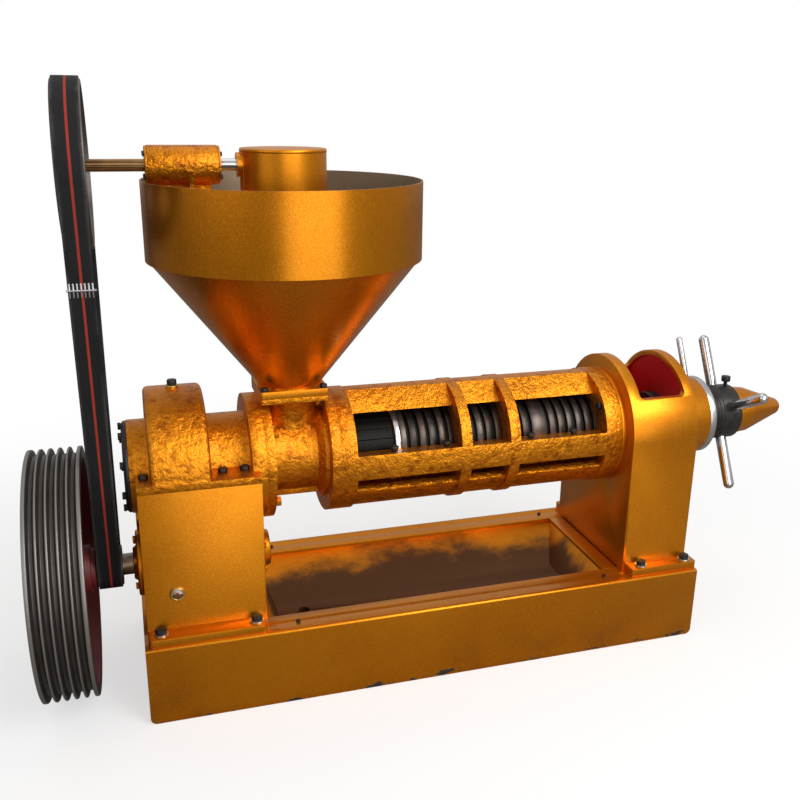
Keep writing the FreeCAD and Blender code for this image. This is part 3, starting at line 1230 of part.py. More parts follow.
def window_slopes():
    """Wedges that slope the cage's outside down to the top edge of each front window."""
    low, high = (math.radians(a) for a in (WINDOW_HIGH, WINDOW_RIM))
    inner = -BAR_INNER * math.cos(low), BAR_INNER * math.sin(low)
    outer = -CAGE_RADIUS * math.cos(high), CAGE_RADIUS * math.sin(high)
    beyond = [o + 0.4 * (o - i) for i, o in zip(inner, outer)]
    outline = [(y, AXIS_Z + z) for y, z in (inner, beyond, (1.7 * inner[0], 1.7 * inner[1]))]
    return [prism_x(outline, x0, x1) for x0, x1 in cage_bays()]


def fuse_each(shapes, others):
    return [shape.fuse(other) for shape, other in zip(shapes, others)]


def cage_upper_half():
    cage = cage_blank(0, 180)
    thin = bay_cuts(BAR_INNER, RING_RADIUS - 1, WINDOW_HIGH - 3, 180 - WINDOW_HIGH + 3)
    front = fuse_each(bay_cuts(CAGE_RADIUS + 5, RING_RADIUS - 1, WINDOW_LOW, WINDOW_HIGH), window_slopes())
    rear = [mirror_y(window) for window in front]
    for cut in (group(thin), group(front), group(rear), cage_bolt_holes(), end_bolt_holes(), stud_holes()):
        cage = cage.cut(cut)
    return cage


def cage_lower_half():
    cage = cage_blank(180, 360)
    low, high = -SLOT_BOTTOM, -SLOT_TOP
    inner = RING_RADIUS - 1
    cuts = bay_cuts(LOWER_BAR_INNER, inner, 180 + SLOT_TOP, 360 - SLOT_TOP)
    cuts += bay_cuts(CAGE_RADIUS + 5, inner, low, high)
    cuts += bay_cuts(CAGE_RADIUS + 5, inner, 180 - high, 180 - low)
    cuts += bay_cuts(CAGE_RADIUS + 5, inner, 270 - DRAIN_HALF_ANGLE, 270 + DRAIN_HALF_ANGLE)
    skim = [sector_x(CAGE_RADIUS + 5, LOWER_BAR_RADIUS, x0, x1, 180 - low - 1, 360 + low + 1)
            for x0, x1 in cage_bays()]
    bolts = [cage_bolt_holes(), end_bolt_holes(), stud_holes()]
    for cut in cuts + skim + bolts:
        cage = cage.cut(cut)
    return cage


def end_bolt_holes():
    return group([cyl_x(BOLT_RADIUS + BOLT_FIT, CAGE_X1 - CAGE_OUTLET_FLANGE - 1, STAND_X0 + 1,
                        *around_x(STUD_CIRCLE, a)) for a in END_BOLT_ANGLES])


def cage_end_bolts():
    x = CAGE_X1 - CAGE_OUTLET_FLANGE
    return group([bolt(vec(x, *around_x(STUD_CIRCLE, a)), vec(-1, 0, 0), STAND_X0 - x - 0.5,
                       head_radius=10, head=8) for a in END_BOLT_ANGLES])


def cage_bolts():
    top = AXIS_Z + CAGE_RADIUS * math.sin(math.radians(WINDOW_LOW))
    return group([bolt(p, vec(0, 0, 1), 54, head=8) for p in cage_bolt_places(top)])


def cage_end_ring():
    return ring_x(CAGE_RADIUS, RING_BORE + 1, CAGE_X1, STAND_X0).cut(end_bolt_holes())


def press_bars():
    """Keystone bars side by side round the feed end of the worm."""
    bars = []
    half = math.pi / BAR_COUNT
    inner_half = RING_BORE * math.tan(half) - BAR_GAP / 2
    outer_half = BAR_OUTER * math.cos(half) * math.tan(half) - BAR_GAP / 2
    for i in range(BAR_COUNT):
        bar = prism_x([(RING_BORE + FIT, AXIS_Z - inner_half), (BAR_OUTER, AXIS_Z - outer_half),
                       (BAR_OUTER, AXIS_Z + outer_half), (RING_BORE + FIT, AXIS_Z + inner_half)],
                      FEED_X1, FEED_X1 + BAR_LENGTH)
        bar.rotate(vec(0, 0, AXIS_Z), vec(1, 0, 0), 360 * i / BAR_COUNT)
        bars.append(bar)
    return group(bars)


def clamp_ring():
    x0 = FEED_X1 + BAR_LENGTH
    return ring_x(RING_RADIUS, RING_BORE, x0, x0 + CLAMP_RING)


def press_rings():
    """Stack of pressing rings with oil grooves between their lands, one ring twice as wide."""
    pitch = (CAGE_X1 - RING_X0) / RING_PITCHES
    profile = [(RING_X0, RING_BORE)]
    i = 0
    while i < RING_PITCHES:
        wide = i == WIDE_RING
        x0 = RING_X0 + pitch * i
        land = RING_LAND + (pitch if wide else 0)
        i += 2 if wide else 1
        profile += [(x0, RING_RADIUS), (x0 + land, RING_RADIUS)]
        if i < RING_PITCHES:
            profile += [(x0 + land, RING_GROOVE_RADIUS), (RING_X0 + pitch * i, RING_GROOVE_RADIUS)]
    profile += [(CAGE_X1, RING_RADIUS), (CAGE_X1, RING_BORE)]
    profile = [p for k, p in enumerate(profile) if k == 0 or p != profile[k - 1]]
    return revolve_x(profile)


# ---- worm -----------------------------------------------------------------------------------------
def worm_layout():
    """Where each worm piece starts, with a plain spacer after each one."""
    x = FEED_X0 + WORM_START
    places = []
    for length, hub, pitch in WORMS:
        places.append((x, length, hub, pitch))
        x += length + SPACER
    return places, x - SPACER


def worm_piece(x, length, hub, pitch):
    turns = (length - FLIGHT_ROOT) / pitch
    flight = helical_flight(pitch, turns, hub, WORM_RADIUS, FLIGHT_ROOT, FLIGHT_TIP)
    flight.translate(vec(0, 0, FLIGHT_ROOT / 2))
    body = flight.fuse(cyl_z(hub, 0, length)).common(cyl_z(WORM_RADIUS + 5, 0, length))
    body = body.cut(cyl_z(SHAFT_RADIUS + FIT, -1, length + 1))
    body.rotate(vec(0, 0, 0), vec(0, 1, 0), 90)
    body.translate(vec(x, 0, AXIS_Z))
    return body


def worm_spacers():
    """Plain taper rings between the worm pieces, rising towards the outlet."""
    rings = []
    places = worm_layout()[0]
    for before, after in zip(places, places[1:]):
        x0 = before[0] + before[1]
        rings.append(revolve_x([(x0, SHAFT_RADIUS + FIT), (x0, before[2]), (x0 + SPACER / 2, SPACER_RADIUS),
                                (x0 + SPACER, after[2]), (x0 + SPACER, SHAFT_RADIUS + FIT)]))
    return group(rings)


def outlet_cone():
    x0 = worm_layout()[1]
    return revolve_x([(x0, SHAFT_RADIUS + FIT), (x0, SPACER_RADIUS), (x0 + CHOKE_LENGTH - 12, CHOKE_RADIUS),
                      (x0 + CHOKE_LENGTH, CHOKE_RADIUS - 8), (x0 + CHOKE_LENGTH, SHAFT_RADIUS + FIT)])


def worm_shaft():
    collar_x0 = SHOULDER_X + THRUST_BEARING_LENGTH + 2 * FACE_GAP
    shaft = cyl_x(SHAFT_RADIUS, MAIN_BEARING_LEFT + 4, HUB_X1 - 10)
    collar = cyl_x(SLEEVE_BORE - 2, collar_x0, collar_x0 + THRUST_COLLAR)
    feather_x0 = worm_layout()[1] + CHOKE_LENGTH
    nut = hexagon(48, 28)
    place(nut, vec(feather_x0, 0, AXIS_Z), vec(1, 0, 0))
    return fuse([shaft, collar, nut])


# ---- discharge stand and adjuster -----------------------------------------------------------------
def stand_outline(radius, z0):
    """Arched outline on the YZ plane as a wire at X = 0."""
    edges = [Part.LineSegment(vec(0, -radius, z0), vec(0, radius, z0)).toShape(),
             Part.LineSegment(vec(0, radius, z0), vec(0, radius, AXIS_Z)).toShape(),
             Part.Arc(vec(0, radius, AXIS_Z), vec(0, 0, AXIS_Z + radius), vec(0, -radius, AXIS_Z)).toShape(),
             Part.LineSegment(vec(0, -radius, AXIS_Z), vec(0, -radius, z0)).toShape()]
    return Part.Face(Part.Wire(edges))


def arched_block(radius, z0, x0, x1):
    block = stand_outline(radius, z0).extrude(vec(x1 - x0, 0, 0))
    block.translate(vec(x0, 0, 0))
    return block


def discharge_stand():
    shell = arched_block(STAND_RADIUS, BED_HEIGHT, STAND_X0, STAND_X1)
    hollow = arched_block(STAND_RADIUS - STAND_WALL, BED_HEIGHT - 1, STAND_X0 + STAND_END_WALL,
                          STAND_X1 - STAND_END_WALL)
    foot = prism_z(rectangle(STAND_X0 + 8, STAND_X1 + STAND_FOOT_OUT, -STAND_FOOT_DEPTH, STAND_FOOT_DEPTH),
                   BED_HEIGHT, BED_HEIGHT + STAND_FOOT, radius=4)
    boss = revolve_x([(STAND_X1 - 1, 0), (STAND_X1 - 1, BOSS_RADIUS + 8), (STAND_X1 + 8, BOSS_RADIUS),
                      (BOSS_X1, BOSS_RADIUS), (BOSS_X1, 0)])
    window = prism_y(rectangle(STAND_X0 + WINDOW_INSET_LEFT, STAND_X1 - WINDOW_INSET_RIGHT,
                               WINDOW_Z, AXIS_Z + STAND_RADIUS + 30),
                     -STAND_RADIUS - 10, STAND_RADIUS + 10, radii=[WINDOW_RADIUS, WINDOW_RADIUS, 0, 0])
    stand = fuse([shell, foot, boss]).cut(hollow).cut(window)
    inlet = cyl_x(STAND_BORE, STAND_X0 - 1, STAND_X0 + STAND_END_WALL + 1)
    outlet = cyl_x(SLEEVE_RADIUS + RUN, STAND_X1 - STAND_END_WALL - 1, BOSS_X1 + 1)
    return stand.cut(inlet).cut(outlet).cut(foot_holes())


def lock_ring():
    ring = revolve_x([(BOSS_X1 + FACE_GAP, SLEEVE_RADIUS + RUN), (BOSS_X1 + FACE_GAP, BOSS_RADIUS),
                      (LOCK_RING_X1 - 4, BOSS_RADIUS), (LOCK_RING_X1, BOSS_RADIUS - 4),
                      (LOCK_RING_X1, SLEEVE_RADIUS + RUN)])
    return ring.cut(radial_rod(lock_lever_x(), 90 - ROD_TILT, LEVER_SOCKET, 130, LEVER_RADIUS + FIT))


def lock_lever_x():
    return (BOSS_X1 + LOCK_RING_X1) / 2


def radial_rod(x, degrees, start, end, radius, rounded=False):
    """Rod pointing away from the worm axis at an angle measured from +Y towards +Z."""
    if rounded:
        rod = cyl_z(radius, start, end - radius).fuse(Part.makeSphere(radius, vec(0, 0, end - radius)))
        rod = rod.removeSplitter()
    else:
        rod = cyl_z(radius, start, end)
    angle = math.radians(degrees)
    return place(rod, vec(x, 0, AXIS_Z), vec(0, math.cos(angle), math.sin(angle)))


def lock_lever():
    return radial_rod(lock_lever_x(), 90 - ROD_TILT, LEVER_SOCKET + 0.5, ROD_REACH, LEVER_RADIUS, True)


def rod_angles():
    return [90 - ROD_TILT + 90 * i for i in range(4)]


def adjusting_sleeve():
    body = revolve_x([(SLEEVE_X0, SLEEVE_THROAT), (SLEEVE_X0, SLEEVE_RADIUS - 3), (SLEEVE_X0 + 3, SLEEVE_RADIUS),
                      (HUB_X0, SLEEVE_RADIUS), (HUB_X0 + 2, HUB_RADIUS), (HUB_X1 - 2, HUB_RADIUS),
                      (HUB_X1, HUB_RADIUS - 2), (HUB_X1, SLEEVE_BORE), (SHOULDER_X, SLEEVE_BORE),
                      (SHOULDER_X, SLEEVE_THROAT)])
    sockets = group([radial_rod(ROD_X, a, ROD_SOCKET, HUB_RADIUS + 10, ROD_RADIUS + FIT) for a in rod_angles()])
    return body.cut(sockets).cut(set_screw_hole())


def handle_rods():
    return group([radial_rod(ROD_X, a, ROD_SOCKET + 0.5, ROD_REACH, ROD_RADIUS, True) for a in rod_angles()])


def set_screw_hole():
    return radial_rod(HUB_X1 - 14, 90, SLEEVE_BORE + 4, HUB_RADIUS + 5, SET_SCREW_RADIUS + BOLT_FIT)


def set_screw():
    head_z = HUB_RADIUS + SET_SCREW_STAND
    head = cyl_z(SET_SCREW_HEAD_RADIUS, head_z, head_z + SET_SCREW_HEAD)
    shank = cyl_z(SET_SCREW_RADIUS, SLEEVE_BORE + 4.5, head_z + 1)
    return place(head.fuse(shank).removeSplitter(), vec(HUB_X1 - 14, 0, AXIS_Z), vec(0, 0, 1))


def thrust_bearing():
    x0 = SHOULDER_X + FACE_GAP
    return ring_x(SLEEVE_BORE - RUN, SHAFT_RADIUS + RUN, x0, x0 + THRUST_BEARING_LENGTH)


def cone_cover():
    x0 = HUB_X1
    x1 = x0 + CONE_LENGTH
    step = x0 + CONE_STEP
    cover = revolve_x([(x0, 0), (x0, CONE_BASE_RADIUS), (step, CONE_STEP_RADIUS), (x1 - 10, CONE_TIP_RADIUS + 4),
                       (x1, CONE_TIP_RADIUS - 6), (x1, 0)], radii=[0, 0, 0, 8, 5, 0])
    hollow = revolve_x([(x0 - 1, 0), (x0 - 1, CONE_BASE_RADIUS - CONE_WALL),
                        (step, CONE_STEP_RADIUS - CONE_WALL), (x1 - 40, CONE_TIP_RADIUS), (x1 - 40, 0)])
    return cover.cut(hollow)


# ---- write the nodes ------------------------------------------------------------------------------
def nodes():
    rail = front_rail()
    made = {
        "front_rail": rail,
        "rear_rail": mirror_y(rail),
        "cross_members": group([cross_member(BED_X0, True, True),
                                cross_member(GEARBOX_X1 - 34, True, False),
                                cross_member(STAND_X0 - 2 - CROSS_FLANGE, False, False),
                                cross_member(BED_X1 - CROSS_FLANGE, False, True)]),
        "drip_tray": drip_tray(),
        "bed_bolts": group([foot_bolts(), tray_screws()]),
        "foot_washers": foot_washers(),
        "gearbox_lower_case": gearbox_lower_case(),
        "gearbox_upper_case": gearbox_upper_case(),
        "gearbox_bolts": group([joint_bolts(), main_cover_bolts(), filler_plug()]),
        "brass_fittings": group([filler_ring(), sight_glass_bezel()]),
        "sight_glass_lens": sight_glass_lens(),
        "main_bearing_cover": main_bearing_cover(),
        "shaft_covers": group([input_bearing_cover(), input_rear_cover(), countershaft_cover()]),
        "cover_bolts": cover_bolts(),
        "gearbox_bearings": group(main_bearings() + shaft_bearings()),
        "drive_shaft": drive_shaft().fuse(input_pinion()),
        "drive_pulley": drive_pulley(),
        "small_belt_pulley": small_belt_pulley(),
        "counter_pinion_shaft": countershaft().fuse(counter_pinion()),
        "counter_gear": counter_gear(),
        "main_gear": main_gear(),
        "main_quill": main_quill(),
        "flat_belt": flat_belt(),
        "belt_lacing": belt_lacing(),
        "large_belt_pulley": large_belt_pulley(),
        "top_shaft": top_shaft(),
        "bevel_pinion": bevel_pinion(),
        "bevel_gear": crown_bevel_gear(),
        "top_bearing_housing": group([top_bearing_housing(), housing_caps()]),
        "top_bushes": group([top_shaft_bushes(), agitator_bush()]),
        "gear_can": gear_can(),
        "can_lid": can_lid(),
        "agitator_shaft": agitator_shaft(),
        "agitator_arms": agitator_arms(),
        "feed_screw": feed_screw(),
        "hopper_band": hopper_band(),
        "hopper_cone": hopper_cone(),
        "hopper_plates": group([hopper_plate(), hopper_gate_plate()]),
        "hopper_bolts": group([hopper_bolts(), housing_cap_bolts()]),
        "hopper_beam": hopper_beam(),
        "feed_body": feed_body(),
        "feed_studs": feed_studs(),
        "cage_upper_half": cage_upper_half(),
        "cage_lower_half": cage_lower_half(),
        "cage_bolts": group([cage_bolts(), cage_end_bolts()]),
        "cage_end_ring": cage_end_ring(),
        "press_bars": press_bars(),
        "clamp_ring": clamp_ring(),
        "press_rings": press_rings(),
        "worm_pieces": group([worm_piece(*place_) for place_ in worm_layout()[0]]),
        "worm_spacers": group([worm_spacers(), outlet_cone()]),
        "worm_shaft": worm_shaft(),
        "discharge_stand": discharge_stand(),
        "lock_ring": lock_ring(),
        "lock_lever": lock_lever(),
        "adjusting_sleeve": adjusting_sleeve(),
        "handle_rods": handle_rods(),
        "set_screw": set_screw(),
        "thrust_bearing": thrust_bearing(),
        "cone_cover": cone_cover(),
    }
    return made


os.makedirs("parts", exist_ok=True)
for node, shape in nodes().items():
    shape.exportStep("parts/" + node + ".step")
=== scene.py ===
"""Finishes, small parts, light and camera of a belt-driven screw oil press."""

import json
import math

import bpy
from bpy.props import FloatProperty, FloatVectorProperty, PointerProperty
from mathutils import Matrix, Vector

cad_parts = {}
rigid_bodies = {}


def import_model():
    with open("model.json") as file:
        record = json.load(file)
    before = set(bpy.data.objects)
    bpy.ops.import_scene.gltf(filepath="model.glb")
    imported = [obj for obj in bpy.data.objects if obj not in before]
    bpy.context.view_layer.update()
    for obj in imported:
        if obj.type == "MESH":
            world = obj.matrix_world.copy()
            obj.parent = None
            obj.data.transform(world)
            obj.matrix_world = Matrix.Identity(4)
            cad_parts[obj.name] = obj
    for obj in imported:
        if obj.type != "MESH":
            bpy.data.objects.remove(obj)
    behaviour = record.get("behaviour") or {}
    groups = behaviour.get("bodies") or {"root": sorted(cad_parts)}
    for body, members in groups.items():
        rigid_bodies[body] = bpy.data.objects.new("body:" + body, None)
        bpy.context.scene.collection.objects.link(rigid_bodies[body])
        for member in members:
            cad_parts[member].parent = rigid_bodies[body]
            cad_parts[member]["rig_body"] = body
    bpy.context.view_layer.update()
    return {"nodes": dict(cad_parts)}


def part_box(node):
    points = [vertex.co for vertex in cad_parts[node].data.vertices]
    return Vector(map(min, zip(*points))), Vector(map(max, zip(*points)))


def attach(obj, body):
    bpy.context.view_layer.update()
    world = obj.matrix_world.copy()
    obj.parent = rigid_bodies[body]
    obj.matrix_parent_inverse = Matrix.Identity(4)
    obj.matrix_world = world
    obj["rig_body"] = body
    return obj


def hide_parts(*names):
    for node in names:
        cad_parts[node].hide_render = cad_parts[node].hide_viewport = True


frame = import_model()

bl_info = {
    "name": "Screw oil press",
    "version": (1, 0, 0),
    "blender": (4, 5, 0),
    "location": "View3D > Sidebar > Oil press",
    "description": "Dresses the packed frame of a screw oil press",
    "category": "Add Mesh",
}

WORM_AXIS = Vector((0, 0, 0.54))
DRIVE_AXIS = (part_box("drive_pulley")[0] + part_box("drive_pulley")[1]) / 2
HOPPER_AXIS = (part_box("hopper_band")[0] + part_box("hopper_band")[1]) / 2


EDGE_BLEND = 0.0005             # half-width over which one colour turns into the next
STAND_HOLLOW = (0.521, 0.6695)  # inner faces of the stand's end walls
STAND_HOLLOW_RADIUS = 0.1715
V_RIM_INNER = 0.261
V_CREST = 0.285
SHAFT_BRIGHT_FROM = -0.545
THREAD_RADIUS = 0.071
THREAD_PITCH = 0.0075
THREAD_TURNS = 5
THREAD_RUNOUT = 0.003           # plain sleeve between the lock ring and the first crest
THREAD_CREST = 0.42             # crest radius as a share of the pitch
HOPPER_SHEET = 0.003
WHITE_NEAR, WHITE_FAR = 0.9, 2.4    # distances over which the floor fades to white
WHITE_AT_PRESS = 0.6
LAMP_AIM = Vector((0, 0, 0.6))


# ---- shader maths ---------------------------------------------------------------------------------
class Value:
    """A number that changes over a surface; arithmetic on it adds Math nodes."""

    def __init__(self, finish, socket):
        self.finish = finish
        self.socket = socket

    def _math(self, operation, *given):
        return self.finish.value("ShaderNodeMath", {"operation": operation}, given)

    def __add__(self, other):
        return self._math("ADD", self, other)

    def __radd__(self, other):
        return self._math("ADD", other, self)

    def __sub__(self, other):
        return self._math("SUBTRACT", self, other)

    def __rsub__(self, other):
        return self._math("SUBTRACT", other, self)

    def __mul__(self, other):
        return self._math("MULTIPLY", self, other)

    def __rmul__(self, other):
        return self._math("MULTIPLY", other, self)

    def __truediv__(self, other):
        return self._math("DIVIDE", self, other)

    def absolute(self):
        return self._math("ABSOLUTE", self)

    def root(self):
        return self._math("SQRT", self)

    def most(self, other):
        return self._math("MAXIMUM", self, other)

    def step(self, low, high):
        """0 below low, 1 above high, smooth between; low may be above high."""
        node = self.finish.node("ShaderNodeMapRange", {"interpolation_type": "SMOOTHSTEP"},
                                {"Value": self, "From Min": low, "From Max": high})
        return Value(self.finish, node.outputs["Result"])


class Finish:
    """A material built from nodes, reading Object coordinates."""

    def __init__(self, name):
        self.material = bpy.data.materials.new(name)
        self.material.use_nodes = True
        self.tree = self.material.node_tree
        self.tree.nodes.clear()
        self.output = self.tree.nodes.new("ShaderNodeOutputMaterial")
        self.shader = self.tree.nodes.new("ShaderNodeBsdfPrincipled")
        self.tree.links.new(self.shader.outputs[0], self.output.inputs[0])
        self.coordinates = self.node("ShaderNodeTexCoord").outputs["Object"]

    def node(self, kind, settings=None, sockets=None):
        """One node: its settings first, then the values or links of its sockets."""
        node = self.tree.nodes.new(kind)
        for key, setting in (settings or {}).items():
            setattr(node, key, setting)
        items = sockets.items() if isinstance(sockets, dict) else enumerate(sockets or [])
        for key, given in items:
            self.feed(node.inputs[key], given)
        return node

    def feed(self, socket, given):
        if isinstance(given, Value):
            given = given.socket
        if isinstance(given, bpy.types.NodeSocket):
            self.tree.links.new(given, socket)
        elif socket.type == "RGBA" and len(given) == 3:
            socket.default_value = (*given, 1)
        else:
            socket.default_value = given

    def value(self, kind, settings=None, sockets=None, output=0):
        return Value(self, self.node(kind, settings, sockets).outputs[output])

    def place(self):
        """Object coordinates as three values, in metres."""
        split = self.node("ShaderNodeSeparateXYZ", None, [self.coordinates])
        return [Value(self, split.outputs[i]) for i in range(3)]

    def facing(self):
        """The surface's direction as three values."""
        split = self.node("ShaderNodeSeparateXYZ", None, [self.node("ShaderNodeNewGeometry").outputs["Normal"]])
        return [Value(self, split.outputs[i]) for i in range(3)]

    def stretched(self, x, y, z):
        mapping = self.node("ShaderNodeMapping", None, {"Vector": self.coordinates, "Scale": (x, y, z)})
        return mapping.outputs[0]

    def noise(self, scale, detail=2, roughness=0.5, vector=None):
        return self.value("ShaderNodeTexNoise", None,
                          {"Vector": vector or self.coordinates, "Scale": scale, "Detail": detail,
                           "Roughness": roughness}, output="Fac")

    def cell_tone(self, scale):
        node = self.node("ShaderNodeTexVoronoi", None, {"Vector": self.coordinates, "Scale": scale})
        split = self.node("ShaderNodeSeparateColor", None, [node.outputs["Color"]])
        return Value(self, split.outputs[0])

    def mix(self, factor, low, high):
        node = self.node("ShaderNodeMix", {"data_type": "RGBA"})
        self.feed(node.inputs[0], factor)
        self.feed(node.inputs[6], low)
        self.feed(node.inputs[7], high)
        return node.outputs[2]

    def bump(self, height, strength, distance):
        node = self.node("ShaderNodeBump", None, {"Height": height, "Strength": strength, "Distance": distance})
        self.feed(self.shader.inputs["Normal"], node.outputs[0])

    def surface(self, **sockets):
        """Feeds the shader; underscores in a name stand for spaces."""
        for key, given in sockets.items():
            self.feed(self.shader.inputs[key.replace("_", " ")], given)
        return self.material


def off_axis(y, z, centre):
    """Distance of the surface from a line along X through centre."""
    dy, dz = y - centre[1], z - centre[2]
    return (dy * dy + dz * dz).root()


# ---- finishes -------------------------------------------------------------------------------------
AMBER = (0.68, 0.225, 0.004)
AMBER_DARK = (0.58, 0.175, 0.003)
# Dark amber used as painted shade on the castings.
AMBER_PAINTED_SHADE = (0.34, 0.085, 0.002)
AMBER_LIGHT = (0.90, 0.42, 0.03)


def amber_colour(finish, low=0.35, high=0.68):
    """Metallic amber with flakes and slow clouds."""
    clouds = finish.noise(3.0, 3, 0.55).step(low, high)
    flakes = finish.cell_tone(900)
    body = finish.mix(clouds, AMBER, AMBER_DARK)
    return finish.mix((flakes - 0.55).step(0.0, 0.4) * 0.5, body, AMBER_LIGHT), flakes


def amber_sheet():
    """Smooth sprayed paint on sheet and machined faces."""
    finish = Finish("amber_sheet")
    colour, flakes = amber_colour(finish)
    peel = finish.noise(220, 2)
    finish.bump(peel * 0.6 + flakes * 0.4, 0.10, 0.0006)
    return finish.surface(Base_Color=colour, Metallic=0.9, Roughness=0.30 + peel * 0.10, Coat_Weight=0.04,
                          Coat_Roughness=0.15)


def amber_casting():
    """The same paint over rough iron, with painted shade in random dark patches."""
    finish = Finish("amber_casting")
    colour, _ = amber_colour(finish, 0.3, 0.7)
    lumps = finish.noise(70, 4, 0.62)
    grit = finish.noise(320, 2)
    # Painted shade: random dark-brown patches stand in for the shading of the rough cast surface.
    hollow_shade = finish.noise(38, 5, 0.7).step(0.50, 0.36)
    tone = finish.mix(hollow_shade * 0.75, colour, AMBER_PAINTED_SHADE)
    finish.bump(lumps * 0.85 + grit * 0.15, 0.9, 0.006)
    return finish.surface(Base_Color=tone, Metallic=0.9, Roughness=0.26 + lumps * 0.16, Coat_Weight=0.04,
                          Coat_Roughness=0.2)


def amber_bed():
    """Sprayed channel with scuffs along its bottom edge."""
    finish = Finish("amber_bed")
    colour, flakes = amber_colour(finish)
    z = finish.place()[2]
    scuffs = finish.noise(14, 4, 0.65, finish.stretched(1, 1, 2.5))
    low = z.step(0.030, 0.004)
    worn = (scuffs + low * 0.20 - 0.74).step(0.0, 0.04)
    dust = (finish.noise(6, 4, 0.6) - 0.5).step(0.0, 0.25) * z.step(0.10, 0.0)
    paint = finish.mix(dust * 0.5, colour, (0.20, 0.09, 0.02))
    tone = finish.mix(worn, paint, (0.025, 0.018, 0.012))
    peel = finish.noise(180, 2)
    finish.bump(peel * 0.6 + flakes * 0.3 - worn, 0.12, 0.0008)
    return finish.surface(Base_Color=tone, Metallic=0.9 - worn * 0.8, Roughness=0.32 + peel * 0.1 + worn * 0.3,
                          Coat_Weight=0.04, Coat_Roughness=0.15)


def oily_tray():
    """Tray paint browned by oil and dust."""
    finish = Finish("oily_tray")
    colour, _ = amber_colour(finish)
    z = finish.place()[2]
    stains = finish.noise(5, 5, 0.65, finish.stretched(1, 2, 1))
    depth = z.step(0.178, 0.10)
    dirt = (stains + depth * 0.45 - 0.45).step(0.0, 0.35)
    tone = finish.mix(dirt, colour, (0.085, 0.030, 0.006))
    finish.bump(stains, 0.15, 0.002)
    return finish.surface(Base_Color=tone, Metallic=0.85 - dirt * 0.3, Roughness=0.40 - dirt * 0.1,
                          Specular_IOR_Level=0.3)


def hopper_paint():
    """Amber outside; inside, bare greyish sheet rubbed by seed."""
    finish = Finish("hopper_paint")
    colour, flakes = amber_colour(finish)
    x, y, _ = finish.place()
    nx, ny, _ = finish.facing()
    inward = ((x - HOPPER_AXIS[0]) * nx + (y - HOPPER_AXIS[1]) * ny).step(0.02, -0.02)
    rubbed = finish.noise(9, 4, 0.6, finish.stretched(1, 1, 0.4))
    sheet = finish.mix(rubbed, (0.26, 0.20, 0.14), (0.50, 0.40, 0.28))
    finish.bump(flakes * 0.5 + finish.noise(160, 2) * 0.5, 0.08, 0.0006)
    return finish.surface(Base_Color=finish.mix(inward, colour, sheet), Metallic=0.9,
                          Roughness=0.25 + inward * 0.16 + rubbed * 0.05, Coat_Weight=0.05, Coat_Roughness=0.10)


def stand_paint():
    """Amber outside and dark red inside the hollow."""
    finish = Finish("stand_paint")
    colour, flakes = amber_colour(finish)
    x, y, z = finish.place()
    radius = off_axis(y, z, WORM_AXIS)
    along = ((x - STAND_HOLLOW[0]).step(-EDGE_BLEND, EDGE_BLEND)
             * (STAND_HOLLOW[1] - x).step(-EDGE_BLEND, EDGE_BLEND))
    across = (STAND_HOLLOW_RADIUS - y.absolute()).step(-EDGE_BLEND, EDGE_BLEND)
    under = (WORM_AXIS.z - z).step(-0.001, 0.001)
    arch = (STAND_HOLLOW_RADIUS - radius).step(-EDGE_BLEND, EDGE_BLEND)
    inside = along * across * under.most(arch)
    grime = finish.noise(12, 4, 0.6)
    red = finish.mix(grime, (0.62, 0.004, 0.008), (0.40, 0.008, 0.008))
    scratches = (finish.noise(3, 5, 0.7, finish.stretched(6, 6, 40)) - 0.75).step(0.0, 0.06) * 0.4
    paint = finish.mix(scratches, colour, (0.62, 0.36, 0.12))
    peel = finish.noise(200, 2)
    finish.bump(peel * 0.6 + flakes * 0.3, 0.12, 0.0008)
    return finish.surface(Base_Color=finish.mix(inside, paint, red), Metallic=0.9 - inside * 0.9,
                          Roughness=0.31 + inside * 0.15 + peel * 0.08, Coat_Weight=0.04, Coat_Roughness=0.15)


def black_oxide():
    """Blackened bolts, lighter in small random worn patches."""
    finish = Finish("black_oxide")
    wear = finish.noise(160, 3)
    tone = finish.mix(wear, (0.012, 0.012, 0.014), (0.06, 0.058, 0.055))
    finish.bump(wear, 0.1, 0.0005)
    return finish.surface(Base_Color=tone, Metallic=0.7, Roughness=0.36 + wear * 0.15)


def bright_steel():
    """Zinc plate, turned."""
    finish = Finish("bright_steel")
    rings = finish.noise(260, 2, 0.5, finish.stretched(3, 1, 1))
    smudges = finish.noise(18, 3)
    tone = finish.mix(smudges, (0.42, 0.42, 0.43), (0.68, 0.68, 0.69))
    finish.bump(rings, 0.06, 0.0004)
    return finish.surface(Base_Color=tone, Metallic=0.95, Roughness=0.22 + rings * 0.14)


def chrome():
    """Polished rods with a few dull rubs."""
    finish = Finish("chrome")
    rubs = finish.noise(60, 4, 0.6)
    tone = finish.mix(rubs, (0.52, 0.52, 0.54), (0.78, 0.78, 0.80))
    return finish.surface(Base_Color=tone, Metallic=1.0, Roughness=0.07 + rubs * 0.12)


def brass():
    finish = Finish("brass")
    rubs = finish.noise(90, 3)
    tone = finish.mix(rubs, (0.52, 0.33, 0.09), (0.80, 0.58, 0.22))
    return finish.surface(Base_Color=tone, Metallic=0.95, Roughness=0.22 + rubs * 0.15)


def sight_glass():
    """Clear window with dark oil to half its height."""
    finish = Finish("sight_glass")
    x, _, z = finish.place()
    low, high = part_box("sight_glass_lens")
    middle = (low + high) / 2
    radius = ((x - middle[0]) * (x - middle[0]) + (z - middle[2]) * (z - middle[2])).root()
    level = (z - middle[2]).step(-0.001, 0.001)
    dot = radius.step(0.0042, 0.0036)
    tone = finish.mix(level, (0.10, 0.045, 0.012), (0.55, 0.50, 0.42))
    tone = finish.mix(dot, tone, (0.30, 0.03, 0.02))
    return finish.surface(Base_Color=tone, Metallic=0.0, Roughness=0.12 + dot * 0.2, Coat_Weight=1.0,
                          Coat_Roughness=0.03)


